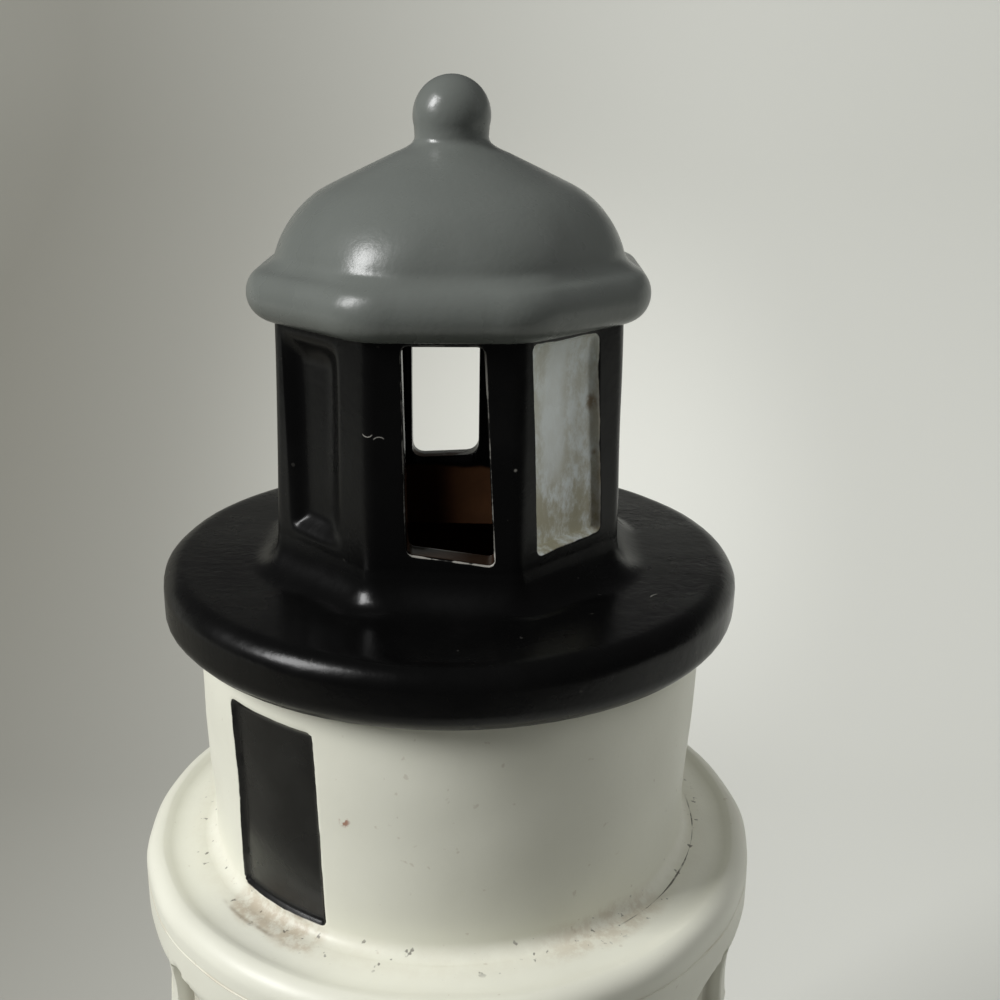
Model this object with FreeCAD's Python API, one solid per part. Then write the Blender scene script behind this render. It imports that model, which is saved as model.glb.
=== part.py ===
"""Garden lighthouse ornament: fired-clay castings around a small battery light.

Millimetres. The origin is the middle of the flat foot, +Z runs up the tower's axis,
and the face with the open lantern window looks along -Y. A direction round the axis
is given in degrees from -Y towards +X.
"""
import math
import os

import FreeCAD
import Part

# ---------------------------------------------------------------- driving dimensions
# clay walls, fits and drawing margins
CLAY_WALL = 6.0              # wall of the tower, cornice and watch room
LANTERN_WALL = 5.0
ROOF_WALL = 5.0
LUTE_GAP = 0.4               # play round a spigot inside a luted joint
LIFT_GAP = 0.8               # play round the lantern's collar in the watch room's mouth
RECESS_DEPTH = 1.8           # the tower's door and windows
OVERLAP = 1.0                # what is fused is drawn this far into its neighbour
CUT_PAST = 1.0               # cutters pass the surface that they open by this much
RECESS_CUT = 12.0            # length of the cutters of the outer recesses

# base plinth
PLINTH_RADIUS = 92.0
PLINTH_HEIGHT = 24.0
PLINTH_BEAD = 8.0            # radius of the half-round lower moulding
PLINTH_STEP_IN = 6.0         # the upper step stands this far inside the bead
PLINTH_EDGE_ROUND = 2.5
PLINTH_SPIGOT = 6.0          # ring that rises inside the tower's foot

# tower
TOWER_HEIGHT = 184.5
TOWER_FOOT_INSET = 9.0       # plinth's edge in to the tower's foot
TOWER_TOP_RADIUS = 70.0
TOWER_WINDOW_WIDTH = 16.0
TOWER_WINDOW_HEIGHT = 30.0
TOWER_DOOR_WIDTH = 26.0
TOWER_DOOR_HEIGHT = 50.0
TOWER_DOOR_SILL = 8.0        # above the plinth
TOWER_OPENING_ROUND = 2.0
FRONT_DOOR_ANGLE = -38.5     # both doors look this way
TOWER_WINDOWS = ((-38.5, 112.0), (51.5, 74.0), (141.5, 112.0), (-128.5, 74.0))  # angle, sill

# gallery cornice under the watch room
CORNICE_HEIGHT = 39.1
CORNICE_RADIUS = 73.5
CORNICE_EDGE_ROUND = 4.2
CORNICE_FLOOR = 6.0          # deck thickness
CORNICE_FLOOR_HOLE = 44.0    # diameter of the hole under the light
FASCIA_GROOVE_DOWN = 13.6    # groove below the deck
FASCIA_GROOVE_DEPTH = 0.8
FASCIA_HEIGHT = 25.6         # deck down to the corbels
CORBEL_COUNT = 16
CORBEL_FOOT_RADIUS = 71.0
CORBEL_WIDTH = 9.0
CORBEL_BOW = 0.5             # belly of the corbels' face
CORBEL_HOLLOW = 5.0          # depth of the arched hollows
CORBEL_SPRING = 6.0          # the arches spring this far above the corbels' foot
CORNICE_SPIGOT = 8.0         # ring that drops inside the tower's top

# watch room
DRUM_HEIGHT = 55.6
DRUM_TOP_RADIUS = 58.2
DRUM_FOOT_RADIUS = 56.6
DRUM_FOOT_FILLET = 3.0
WATCH_DOOR_WIDTH = 24.0
WATCH_DOOR_HEIGHT = 45.2
WATCH_DOOR_SILL = 3.6
WATCH_DOOR_DEPTH = 1.0
WATCH_DOOR_ROUND = 1.5

# lantern room and gallery disc, one casting
DISC_RADIUS = 65.0
DISC_THICKNESS = 13.6
DISC_EDGE_ROUND = 4.6
COLLAR_HEIGHT = 7.0
COLLAR_WALL = 5.4
LANTERN_HEIGHT = 55.0        # disc top to the eave line
LANTERN_HALF_FLATS_TOP = 36.2
LANTERN_HALF_FLATS_FOOT = 37.2
LANTERN_CORNER_ROUND = 3.0
FLARE_REACH = 7.6            # cove at the lantern's foot
FLARE_RISE = 7.2
WINDOW_WIDTH = 16.8
WINDOW_SILL = 10.9           # above the disc
WINDOW_HEAD = 0.9            # clay left under the eave
WINDOW_ROUND = 1.2
LANTERN_WINDOWS = ((0.0, 1.4, 1.75), (90.0, 0.0, 1.0), (180.0, 2.5, 0.0), (270.0, 0.0, 1.0))
# each window's direction, and how far its foot stands off the middle and its top leans, cut by hand
PANEL_WIDTH = 19.4
PANEL_DEPTH = 2.8
PANEL_OFFSET = -0.3
PANEL_LEAN = 2.3

# roof
EAVE_HALF_FLATS = 42.0
EAVE_CORNER_ROUND = 15.0
EAVE_HEIGHT = 11.2
EAVE_LIP = 5.2               # reach of the eave's round nose past its flat underside
EAVE_CORE_INSET = 9.0        # the eave's ring is this wide
DOME_SHOULDER_RADIUS = 36.6
DOME_BEND_RADIUS = 26.5      # the dome's side turns into its sloping crown here
DOME_BEND_HEIGHT = 14.6      # above the shoulder
DOME_SIDE_BOW = 2.1          # belly of the dome's side over its straight line
DOME_HEIGHT = 21.2           # shoulder to the start of the neck flare
DOME_TOP_RADIUS = 12.5
NECK_RADIUS = 7.8
NECK_RISE = 3.4
NECK_BOW = 1.3               # hollow of the flare under the neck
BALL_RADIUS = 8.2
BALL_RISE = 4.2              # neck to the ball's middle
ROOF_HOLLOW_TOP = 8.0        # radius of the flat crown of the roof's hollow

# battery light that stands on the watch-room floor
LIGHT_RADIUS = 29.0
LIGHT_HEIGHT = 26.0
LIGHT_WALL = 2.0
LIGHT_GAP = 0.3              # running clearance inside the light
DECK_THICKNESS = 2.0
DECK_EDGE_ROUND = 0.8
SKIRT_DROP = 2.4
SKIRT_WALL = 1.25
LENS_RADIUS = 17.0
LENS_RISE = 7.0
LENS_WALL = 1.4
LENS_FLANGE = 1.8
LENS_FLANGE_HEIGHT = 1.0
CELL_RADIUS = 5.25
CELL_LENGTH = 44.5
CELL_PITCH = 11.4
CELL_NIPPLE = 1.0
CELL_NIPPLE_RADIUS = 1.9
SPRING_LENGTH = 2.0
SPRING_WIDE_RADIUS = 3.6
SPRING_TIP_RADIUS = 2.2
SPRING_BORE_RADIUS = 1.2
CONTACT_THICKNESS = 0.4
CONTACT_WIDTH = 7.0
CONTACT_HEIGHT = 8.0
COVER_THICKNESS = 2.0
COVER_RECESS = 1.0
COVER_TURN = 20.0            # degrees from locked to free
LUG_WIDTH = 7.0
LUG_REACH = 0.9
COIN_SLOT_LENGTH = 24.0
COIN_SLOT_WIDTH = 2.2
COIN_SLOT_DEPTH = 1.1
SEAL_SECTION = 0.9
LEDGE_REACH = 1.6            # inner ledges of the housing, and the seal's width
LEDGE_HEIGHT = 1.2
TRAY_THICKNESS = 1.4
POST_RADIUS = 2.4
BOARD_STANDOFF = 1.0
BOARD_RADIUS = 25.0
BOARD_THICKNESS = 1.6
LED_SIZE = 5.0
LED_HEIGHT = 1.6
REFLECTOR_WALL = 1.0
REFLECTOR_THROAT = 4.0       # radius of the hole round the chip
REFLECTOR_LIP = 0.8          # height of the throat's edge
REFLECTOR_BOW = 0.8          # hollow of the dish
SWITCH_TRAVEL = 4.0
SWITCH_KNOB = 3.4
SWITCH_DISTANCE = 21.6       # switch from the light's axis
SWITCH_BODY_HEIGHT = 3.2
SWITCH_BODY_MARGIN = 1.0     # body past the knob's travel at each end
KNOB_RISE = 1.6              # knob above the deck
KNOB_GROOVE_RADIUS = 0.3
KNOB_GROOVE_PITCH = 1.0
SCREW_RADIUS = 1.1
SCREW_LENGTH = 3.6
SCREW_HEAD_RADIUS = 2.0
SCREW_HEAD_HEIGHT = 1.2
SCREW_CIRCLE = 21.4
SCREW_ANGLES = (60.0, 180.0, 300.0)
SCREW_PLAY_IN_POST = 0.1
SCREW_PLAY_IN_BOARD = 0.2

# radii that follow
TOWER_FOOT_RADIUS = PLINTH_RADIUS - TOWER_FOOT_INSET
LANTERN_HALF_BORE = LANTERN_HALF_FLATS_TOP - LANTERN_WALL
COLLAR_RADIUS = DRUM_TOP_RADIUS - CLAY_WALL - LIFT_GAP
LIGHT_BORE = LIGHT_RADIUS - LIGHT_WALL

# levels up the axis
TOWER_FOOT_Z = PLINTH_HEIGHT
CORNICE_FOOT_Z = TOWER_FOOT_Z + TOWER_HEIGHT
DECK_Z = CORNICE_FOOT_Z + CORNICE_HEIGHT
DISC_FOOT_Z = DECK_Z + DRUM_HEIGHT
DISC_TOP_Z = DISC_FOOT_Z + DISC_THICKNESS
EAVE_Z = DISC_TOP_Z + LANTERN_HEIGHT
SHOULDER_Z = EAVE_Z + EAVE_HEIGHT

# levels up the light
LIGHT_TOP_Z = DECK_Z + LIGHT_HEIGHT
COVER_Z = DECK_Z + COVER_RECESS
CELL_FLOOR_Z = COVER_Z + COVER_THICKNESS + SEAL_SECTION
CELL_Z = CELL_FLOOR_Z + CELL_RADIUS
TRAY_Z = CELL_Z + CELL_RADIUS + LIGHT_GAP
BOARD_Z = TRAY_Z + TRAY_THICKNESS + BOARD_STANDOFF
BOARD_TOP_Z = BOARD_Z + BOARD_THICKNESS
DECK_FOOT_Z = LIGHT_TOP_Z - DECK_THICKNESS


# ---------------------------------------------------------------- helpers
def vec(x, y, z=0.0):
    return FreeCAD.Vector(x, y, z)


def bowed(start, end, bow):
    """Arc leg of an outline: its middle lies bow to the right of the straight way."""
    run, rise = end[0] - start[0], end[1] - start[1]
    chord = math.hypot(run, rise)
    middle = ((start[0] + end[0]) / 2 + bow * rise / chord,
              (start[1] + end[1]) / 2 - bow * run / chord)
    return middle, end


def quarter(start, end, side=1):
    """Quarter-round leg of an outline: a round edge, or with side -1 a fillet."""
    chord = math.hypot(end[0] - start[0], end[1] - start[1])
    return bowed(start, end, side * chord / 2 * math.tan(math.radians(22.5)))


def cap_arc(radius, foot, rise, inward=False):
    """Leg over a spherical cap whose centre is on the axis: from rim to pole, or back."""
    ball = (radius ** 2 + rise ** 2) / (2 * rise)
    centre = foot + rise - ball
    half = math.asin(radius / ball) / 2
    middle = (ball * math.sin(half), centre + ball * math.cos(half))
    return (middle, (radius, foot)) if inward else (middle, (0, foot + rise))


def outline(start, *legs):
    """Closed wire in the XZ plane: a leg (r, z) is a line, (middle, end) an arc."""
    edges = []
    here = vec(start[0], 0, start[1])
    first = here
    for leg in legs:
        if isinstance(leg[0], tuple):
            middle, end = (vec(r, 0, z) for r, z in leg)
            edges.append(Part.Arc(here, middle, end).toShape())
        else:
            end = vec(leg[0], 0, leg[1])
            edges.append(Part.LineSegment(here, end).toShape())
        here = end
    if here.distanceToPoint(first) > 1e-7:
        edges.append(Part.LineSegment(here, first).toShape())
    return Part.Wire(edges)


def turned(start, *legs):
    """Solid of revolution about Z from a closed outline."""
    return Part.Face(outline(start, *legs)).revolve(vec(0, 0), vec(0, 0, 1), 360)


def tube(outer, inner, foot, height):
    body = Part.makeCylinder(outer, height, vec(0, 0, foot))
    return body.cut(Part.makeCylinder(inner, height, vec(0, 0, foot)))


def octagon(half_flats, corner_round, level):
    """Rounded octagon with a flat towards -Y: eight lines joined by eight arcs."""
    half_side = (half_flats - corner_round) * math.tan(math.radians(22.5))

    def place(angle, along, out):
        return vec(out * math.sin(angle) + along * math.cos(angle),
                   -out * math.cos(angle) + along * math.sin(angle), level)

    edges = []
    for side in range(8):
        turn = math.radians(45 * side)
        corner = turn + math.radians(22.5)
        start = place(turn, -half_side, half_flats)
        end = place(turn, half_side, half_flats)
        after = place(turn + math.radians(45), -half_side, half_flats)
        centre = place(turn, half_side, half_flats - corner_round)
        crown = centre + vec(math.sin(corner), -math.cos(corner)) * corner_round
        edges.append(Part.LineSegment(start, end).toShape())
        edges.append(Part.Arc(end, crown, after).toShape())
    return Part.Wire(edges)


def swept_round_octagon(half_flats, corner_round, *profile):
    """Sweep a closed outline, drawn with r from the axis, round a rounded octagon."""
    path = octagon(half_flats, corner_round, 0)
    section = Part.Face(outline(*profile))
    section.rotate(vec(0, 0), vec(0, 0, 1), -90)
    return path.makePipe(section)


def facing(shape, angle):
    """Turn something built towards -Y so that it looks along the given direction."""
    shape.rotate(vec(0, 0), vec(0, 0, 1), angle)
    return shape


def opening_prism(width, foot, head, near, far, corner, offset=0.0, lean=0.0):
    """Upright prism towards -Y from radius near to far, moved by offset, its top back by lean."""
    left, right = offset - width / 2, offset + width / 2
    corners = [vec(left, -near, foot), vec(right, -near, foot),
               vec(right - lean, -near, head), vec(left - lean, -near, head)]
    face = Part.Face(Part.makePolygon(corners + corners[:1]))
    prism = face.extrude(vec(0, near - far, 0))
    along = [edge for edge in prism.Edges
             if abs(edge.Vertexes[0].Point.y - edge.Vertexes[-1].Point.y) > (far - near) / 2]
    return prism.makeFillet(corner, along)


def save(name, shape):
    shape.exportStep(os.path.join("parts", name + ".step"))


# ---------------------------------------------------------------- clay castings
def base_plinth():
    """Ring with a half-round lower bead, an upper step and a spigot inside the tower's foot."""
    top = PLINTH_HEIGHT
    bead = PLINTH_BEAD
    bead_back = PLINTH_RADIUS - bead
    step = PLINTH_RADIUS - PLINTH_STEP_IN
    inner = TOWER_FOOT_RADIUS - 2 * CLAY_WALL
    ring = TOWER_FOOT_RADIUS - CLAY_WALL - LUTE_GAP
    edge = PLINTH_EDGE_ROUND
    bead_meets = bead + math.sqrt(bead ** 2 - (step - bead_back) ** 2)
    return turned((inner, 0), (bead_back, 0), ((PLINTH_RADIUS, bead), (step, bead_meets)),
                  (step, top - edge), quarter((step, top - edge), (step - edge, top)),
                  (ring, top), (ring, top + PLINTH_SPIGOT), (inner, top + PLINTH_SPIGOT))


def tower_shell():
    """Straight taper, open at both ends, with a door and four windows as recesses."""
    foot, top = TOWER_FOOT_Z, CORNICE_FOOT_Z
    taper = TOWER_FOOT_RADIUS - TOWER_TOP_RADIUS
    shell = turned((TOWER_FOOT_RADIUS - CLAY_WALL, foot), (TOWER_FOOT_RADIUS, foot),
                   (TOWER_TOP_RADIUS, top), (TOWER_TOP_RADIUS - CLAY_WALL, top))
    lean = math.degrees(math.atan2(taper, TOWER_HEIGHT))
    recesses = [(FRONT_DOOR_ANGLE, TOWER_DOOR_SILL, TOWER_DOOR_WIDTH, TOWER_DOOR_HEIGHT)]
    for angle, sill in TOWER_WINDOWS:
        recesses.append((angle, sill, TOWER_WINDOW_WIDTH, TOWER_WINDOW_HEIGHT))
    for angle, sill, width, height in recesses:
        near = TOWER_FOOT_RADIUS - taper * sill / TOWER_HEIGHT - RECESS_DEPTH
        cut = opening_prism(width, 0, height, 0, RECESS_CUT, TOWER_OPENING_ROUND)
        cut.rotate(vec(0, 0), vec(1, 0, 0), -lean)
        cut.translate(vec(0, -near, foot + sill))
        shell = shell.cut(facing(cut, angle))
    return shell


def corbel_hollow():
    """Cutter of one arched hollow between two corbels, towards -Y."""
    foot = CORNICE_FOOT_Z - CUT_PAST
    spring = CORNICE_FOOT_Z + CORBEL_SPRING
    crown = DECK_Z - FASCIA_HEIGHT
    half = (2 * math.pi * CORNICE_RADIUS / CORBEL_COUNT - CORBEL_WIDTH) / 2
    arch = outline((-half, foot), (half, foot), (half, spring), ((0, crown), (-half, spring)))
    face = Part.Face(arch)
    near = CORBEL_FOOT_RADIUS - CORBEL_HOLLOW
    face.translate(vec(0, -near))
    return face.extrude(vec(0, near - CORNICE_RADIUS - CUT_PAST))


def gallery_cornice():
    """Deck with a deep grooved fascia on a ring of corbels, and a spigot inside the tower."""
    foot, deck = CORNICE_FOOT_Z, DECK_Z
    edge = CORNICE_RADIUS
    rim = CORNICE_EDGE_ROUND
    groove = deck - FASCIA_GROOVE_DOWN
    cut_in = FASCIA_GROOVE_DEPTH
    inner = TOWER_TOP_RADIUS - 2 * CLAY_WALL
    ring = TOWER_TOP_RADIUS - CLAY_WALL - LUTE_GAP
    hole = CORNICE_FLOOR_HOLE / 2
    ceiling = deck - CORNICE_FLOOR
    body = turned((inner, foot - CORNICE_SPIGOT), (ring, foot - CORNICE_SPIGOT), (ring, foot),
                  (CORBEL_FOOT_RADIUS, foot),
                  bowed((CORBEL_FOOT_RADIUS, foot), (edge, deck - FASCIA_HEIGHT), CORBEL_BOW),
                  (edge, groove - cut_in), (edge - cut_in, groove), (edge, groove + cut_in),
                  (edge, deck - rim), quarter((edge, deck - rim), (edge - rim, deck)),
                  (hole, deck), (hole, ceiling), (inner, ceiling))
    hollow = corbel_hollow()
    return body.cut([facing(hollow.copy(), 360.0 * turn / CORBEL_COUNT)
                     for turn in range(CORBEL_COUNT)])


def watch_room():
    """Slightly flaring drum with a fillet at its foot and a shallow blind door."""
    foot, top = DECK_Z, DISC_FOOT_Z
    fillet = DRUM_FOOT_FILLET
    drum = turned((DRUM_FOOT_RADIUS - CLAY_WALL, foot), (DRUM_FOOT_RADIUS + fillet, foot),
                  quarter((DRUM_FOOT_RADIUS + fillet, foot), (DRUM_FOOT_RADIUS, foot + fillet), -1),
                  (DRUM_TOP_RADIUS, top), (DRUM_TOP_RADIUS - CLAY_WALL, top))
    near = DRUM_FOOT_RADIUS - WATCH_DOOR_DEPTH
    sill = foot + WATCH_DOOR_SILL
    recess = opening_prism(WATCH_DOOR_WIDTH, sill, sill + WATCH_DOOR_HEIGHT, near - RECESS_CUT,
                           near + RECESS_CUT, WATCH_DOOR_ROUND)
    core = Part.makeCylinder(near, DRUM_HEIGHT, vec(0, 0, foot))
    return drum.cut(facing(recess.cut(core), FRONT_DOOR_ANGLE))


def lantern_room():
    """Collar, round gallery disc and eight-sided lantern: four open windows, four blind panels."""
    foot, top, eave = DISC_FOOT_Z, DISC_TOP_Z, EAVE_Z
    edge, out = DISC_EDGE_ROUND, DISC_RADIUS
    corner = LANTERN_CORNER_ROUND
    disc = turned((0, foot), (out - edge, foot), quarter((out - edge, foot), (out, foot + edge)),
                  (out, top - edge), quarter((out, top - edge), (out - edge, top)), (0, top))
    collar = tube(COLLAR_RADIUS, COLLAR_RADIUS - COLLAR_WALL, foot - COLLAR_HEIGHT, COLLAR_HEIGHT)
    walls = Part.makeLoft([octagon(LANTERN_HALF_FLATS_FOOT, corner, top - OVERLAP),
                           octagon(LANTERN_HALF_FLATS_TOP, corner, eave)], True, True)
    root = LANTERN_HALF_FLATS_FOOT - 2 * OVERLAP
    reach = (LANTERN_HALF_FLATS_FOOT + FLARE_REACH, top)
    rise = (LANTERN_HALF_FLATS_FOOT, top + FLARE_RISE)
    flare = swept_round_octagon(root, corner, (root, top - OVERLAP), (reach[0], top - OVERLAP), reach,
                                quarter(reach, rise, -1), (root, rise[1]))
    body = disc.fuse([collar, walls, flare])
    bore = Part.Face(octagon(LANTERN_HALF_BORE, corner, foot - CUT_PAST))
    throat = foot + DISC_THICKNESS - CLAY_WALL
    mouth = turned((0, foot), (COLLAR_RADIUS - COLLAR_WALL, foot), (LANTERN_HALF_BORE, throat), (0, throat))
    body = body.cut([bore.extrude(vec(0, 0, eave - foot + 2 * CUT_PAST)), mouth])
    sill, head = top + WINDOW_SILL, eave - WINDOW_HEAD
    far = LANTERN_HALF_FLATS_FOOT + CUT_PAST
    for angle, offset, lean in LANTERN_WINDOWS:
        cut = opening_prism(WINDOW_WIDTH, sill, head, LANTERN_HALF_BORE - CUT_PAST, far,
                            WINDOW_ROUND, offset, lean)
        body = body.cut(facing(cut, angle))
    for angle in (45, 135, 225, 315):
        cut = opening_prism(PANEL_WIDTH, sill, head, LANTERN_HALF_FLATS_FOOT - PANEL_DEPTH, far,
                            WINDOW_ROUND, PANEL_OFFSET, PANEL_LEAN)
        body = body.cut(facing(cut, angle))
    return body.removeSplitter()


def roof_dome():
    """Round-nosed eight-sided eave, bell dome, flared neck and ball, hollow below."""
    foot, shoulder = EAVE_Z, SHOULDER_Z
    core = EAVE_HALF_FLATS - EAVE_CORE_INSET
    core_round = EAVE_CORNER_ROUND - EAVE_CORE_INSET
    lip = EAVE_HALF_FLATS - EAVE_LIP
    nose = ((EAVE_HALF_FLATS, foot + EAVE_HEIGHT / 2), (lip, shoulder))
    rim = swept_round_octagon(core, core_round, (core, foot), (lip, foot), nose, (core, shoulder))
    slab = Part.Face(octagon(core, core_round, foot)).extrude(vec(0, 0, EAVE_HEIGHT))
    side = (DOME_SHOULDER_RADIUS, shoulder)
    bend = (DOME_BEND_RADIUS, shoulder + DOME_BEND_HEIGHT)
    crown = (DOME_TOP_RADIUS, shoulder + DOME_HEIGHT)
    neck = (NECK_RADIUS, crown[1] + NECK_RISE)
    ball_z = neck[1] + BALL_RISE
    ball_foot = ball_z - math.sqrt(BALL_RADIUS ** 2 - NECK_RADIUS ** 2)
    dome = turned((0, foot + OVERLAP), (DOME_SHOULDER_RADIUS, foot + OVERLAP), side,
                  bowed(side, bend, DOME_SIDE_BOW), crown, bowed(crown, neck, -NECK_BOW),
                  (NECK_RADIUS, ball_foot), ((BALL_RADIUS, ball_z), (0, ball_z + BALL_RADIUS)))
    inset = ROOF_WALL * math.sqrt(0.5)
    inner_side = (DOME_SHOULDER_RADIUS - ROOF_WALL, shoulder)
    inner_bend = (bend[0] - inset, bend[1] - inset)
    hollow_top = crown[1] - ROOF_WALL
    hollow = turned((0, foot), (LANTERN_HALF_BORE, foot), inner_side,
                    bowed(inner_side, inner_bend, DOME_SIDE_BOW), (ROOF_HOLLOW_TOP, hollow_top),
                    (0, hollow_top))
    return slab.fuse([rim, dome]).cut(hollow).removeSplitter()


# ---------------------------------------------------------------- battery light
def sector_ring(outer, inner, foot, height, middle, spread):
    """Part of a ring, spread degrees wide about a direction."""
    ring = tube(outer, inner, foot, height)
    wedge = Part.makeCylinder(outer + CUT_PAST, height, vec(0, 0, foot), vec(0, 0, 1), spread)
    wedge.rotate(vec(0, 0), vec(0, 0, 1), -90 + middle - spread / 2)
    return ring.common(wedge)


def lug_spread(extra=0.0):
    """Degrees that a lug and some extra room take on the housing's bore."""
    return math.degrees((LUG_WIDTH + extra) / LIGHT_BORE)


def ledge(foot):
    return tube(LIGHT_BORE, LIGHT_BORE - LEDGE_REACH, foot, LEDGE_HEIGHT)


def light_housing():
    """Round cup, open below, with bayonet grooves for the cover and two inner ledges."""
    shell = tube(LIGHT_RADIUS, LIGHT_BORE, DECK_Z, LIGHT_HEIGHT - DECK_THICKNESS)
    groove_radius = LIGHT_BORE + LUG_REACH + LIGHT_GAP / 2
    inside = LIGHT_BORE - CUT_PAST
    lug_room = lug_spread(2 * LIGHT_GAP)
    cutters = []
    for side in (0, 180):
        cutters.append(sector_ring(groove_radius, inside, COVER_Z - LIGHT_GAP,
                                   COVER_THICKNESS + 2 * LIGHT_GAP, side + COVER_TURN / 2,
                                   lug_room + COVER_TURN))
        cutters.append(sector_ring(groove_radius, inside, DECK_Z - CUT_PAST,
                                   COVER_RECESS + CUT_PAST + COVER_THICKNESS, side + COVER_TURN, lug_room))
    return shell.cut(cutters).fuse([ledge(TRAY_Z - LEDGE_HEIGHT), ledge(CELL_FLOOR_Z)])


def battery_cover():
    """Turn-to-release plate with two lugs and a coin slot."""
    plate_radius = LIGHT_BORE - LIGHT_GAP
    plate = Part.makeCylinder(plate_radius, COVER_THICKNESS, vec(0, 0, COVER_Z))
    lugs = [sector_ring(LIGHT_BORE + LUG_REACH - LIGHT_GAP / 2, plate_radius - OVERLAP, COVER_Z,
                        COVER_THICKNESS, side, lug_spread()) for side in (0, 180)]
    slot = Part.makeBox(COIN_SLOT_LENGTH, COIN_SLOT_WIDTH, COIN_SLOT_DEPTH,
                        vec(-COIN_SLOT_LENGTH / 2, -COIN_SLOT_WIDTH / 2, COVER_Z))
    return plate.fuse(lugs).cut(slot).removeSplitter()


def cover_seal():
    outer = LIGHT_BORE - 2 * LIGHT_GAP
    return tube(outer, outer - LEDGE_REACH, COVER_Z + COVER_THICKNESS, SEAL_SECTION)


def battery(side):
    """One lying cell: a round can with a nipple on its +X end."""
    y = side * CELL_PITCH / 2
    along = vec(1, 0)
    can = Part.makeCylinder(CELL_RADIUS, CELL_LENGTH - CELL_NIPPLE, vec(-CELL_LENGTH / 2, y, CELL_Z), along)
    tip_foot = vec(CELL_LENGTH / 2 - CELL_NIPPLE, y, CELL_Z)
    tip = Part.makeCylinder(CELL_NIPPLE_RADIUS, CELL_NIPPLE, tip_foot, along)
    return can.fuse(tip)


def contact_springs():
    """A hollow conical spring pressed on each cell's flat end."""
    springs = []
    along = vec(1, 0)
    for side in (-1, 1):
        place = vec(-CELL_LENGTH / 2 - SPRING_LENGTH, side * CELL_PITCH / 2, CELL_Z)
        cone = Part.makeCone(SPRING_TIP_RADIUS, SPRING_WIDE_RADIUS, SPRING_LENGTH, place, along)
        springs.append(cone.cut(Part.makeCylinder(SPRING_BORE_RADIUS, SPRING_LENGTH, place, along)))
    return Part.makeCompound(springs)


def contact_plates():
    """A plate behind each spring and one at each nipple."""
    plates = []
    for side in (-1, 1):
        y = side * CELL_PITCH / 2 - CONTACT_WIDTH / 2
        z = CELL_Z - CONTACT_HEIGHT / 2
        for x in (CELL_LENGTH / 2, -CELL_LENGTH / 2 - SPRING_LENGTH - CONTACT_THICKNESS):
            plates.append(Part.makeBox(CONTACT_THICKNESS, CONTACT_WIDTH, CONTACT_HEIGHT, vec(x, y, z)))
    return Part.makeCompound(plates)


def screw_places(level):
    turns = [math.radians(angle) for angle in SCREW_ANGLES]
    return [vec(SCREW_CIRCLE * math.sin(turn), -SCREW_CIRCLE * math.cos(turn), level) for turn in turns]


def battery_tray():
    """Plate over the cells with three bored posts that carry the circuit board."""
    plate = Part.makeCylinder(LIGHT_BORE - LIGHT_GAP, TRAY_THICKNESS, vec(0, 0, TRAY_Z))
    rise = BOARD_Z - TRAY_Z
    bore = SCREW_RADIUS + SCREW_PLAY_IN_POST
    posts = [Part.makeCylinder(POST_RADIUS, rise, place) for place in screw_places(TRAY_Z)]
    bores = [Part.makeCylinder(bore, rise, place) for place in screw_places(TRAY_Z)]
    return plate.fuse(posts).cut(bores).removeSplitter()


def circuit_board():
    board = Part.makeCylinder(BOARD_RADIUS, BOARD_THICKNESS, vec(0, 0, BOARD_Z))
    hole = SCREW_RADIUS + SCREW_PLAY_IN_BOARD
    return board.cut([Part.makeCylinder(hole, BOARD_THICKNESS, place) for place in screw_places(BOARD_Z)])


def board_screws():
    screws = []
    for place in screw_places(BOARD_TOP_Z):
        head = Part.makeCylinder(SCREW_HEAD_RADIUS, SCREW_HEAD_HEIGHT, place)
        shank = Part.makeCylinder(SCREW_RADIUS, SCREW_LENGTH, place - vec(0, 0, SCREW_LENGTH))
        screws.append(head.fuse(shank))
    return Part.makeCompound(screws)


def led():
    half = LED_SIZE / 2
    return Part.makeBox(LED_SIZE, LED_SIZE, LED_HEIGHT, vec(-half, -half, BOARD_TOP_Z))


def reflector():
    """Thin dish round the light chip, under the lens."""
    throat, wall = REFLECTOR_THROAT, REFLECTOR_WALL
    mouth = LENS_RADIUS + LENS_FLANGE - wall
    foot, top = BOARD_TOP_Z, DECK_FOOT_Z - LENS_FLANGE_HEIGHT
    under = (throat + wall, foot)
    rim = (mouth, top)
    return turned((throat, foot), under, bowed(under, (mouth + wall, top), REFLECTOR_BOW), rim,
                  bowed(rim, (throat, foot + REFLECTOR_LIP), -REFLECTOR_BOW))


def lens():
    """Frosted cap over the chip, held by its flange under the deck."""
    flange = DECK_FOOT_Z - LENS_FLANGE_HEIGHT
    top = LIGHT_TOP_Z
    out, wall = LENS_RADIUS, LENS_WALL
    return turned((out - wall, flange), (out + LENS_FLANGE, flange), (out + LENS_FLANGE, DECK_FOOT_Z),
                  (out, DECK_FOOT_Z), (out, top),
                  cap_arc(out, top, LENS_RISE), (0, top + LENS_RISE - wall),
                  cap_arc(out - wall, top, LENS_RISE - wall, inward=True))


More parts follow.
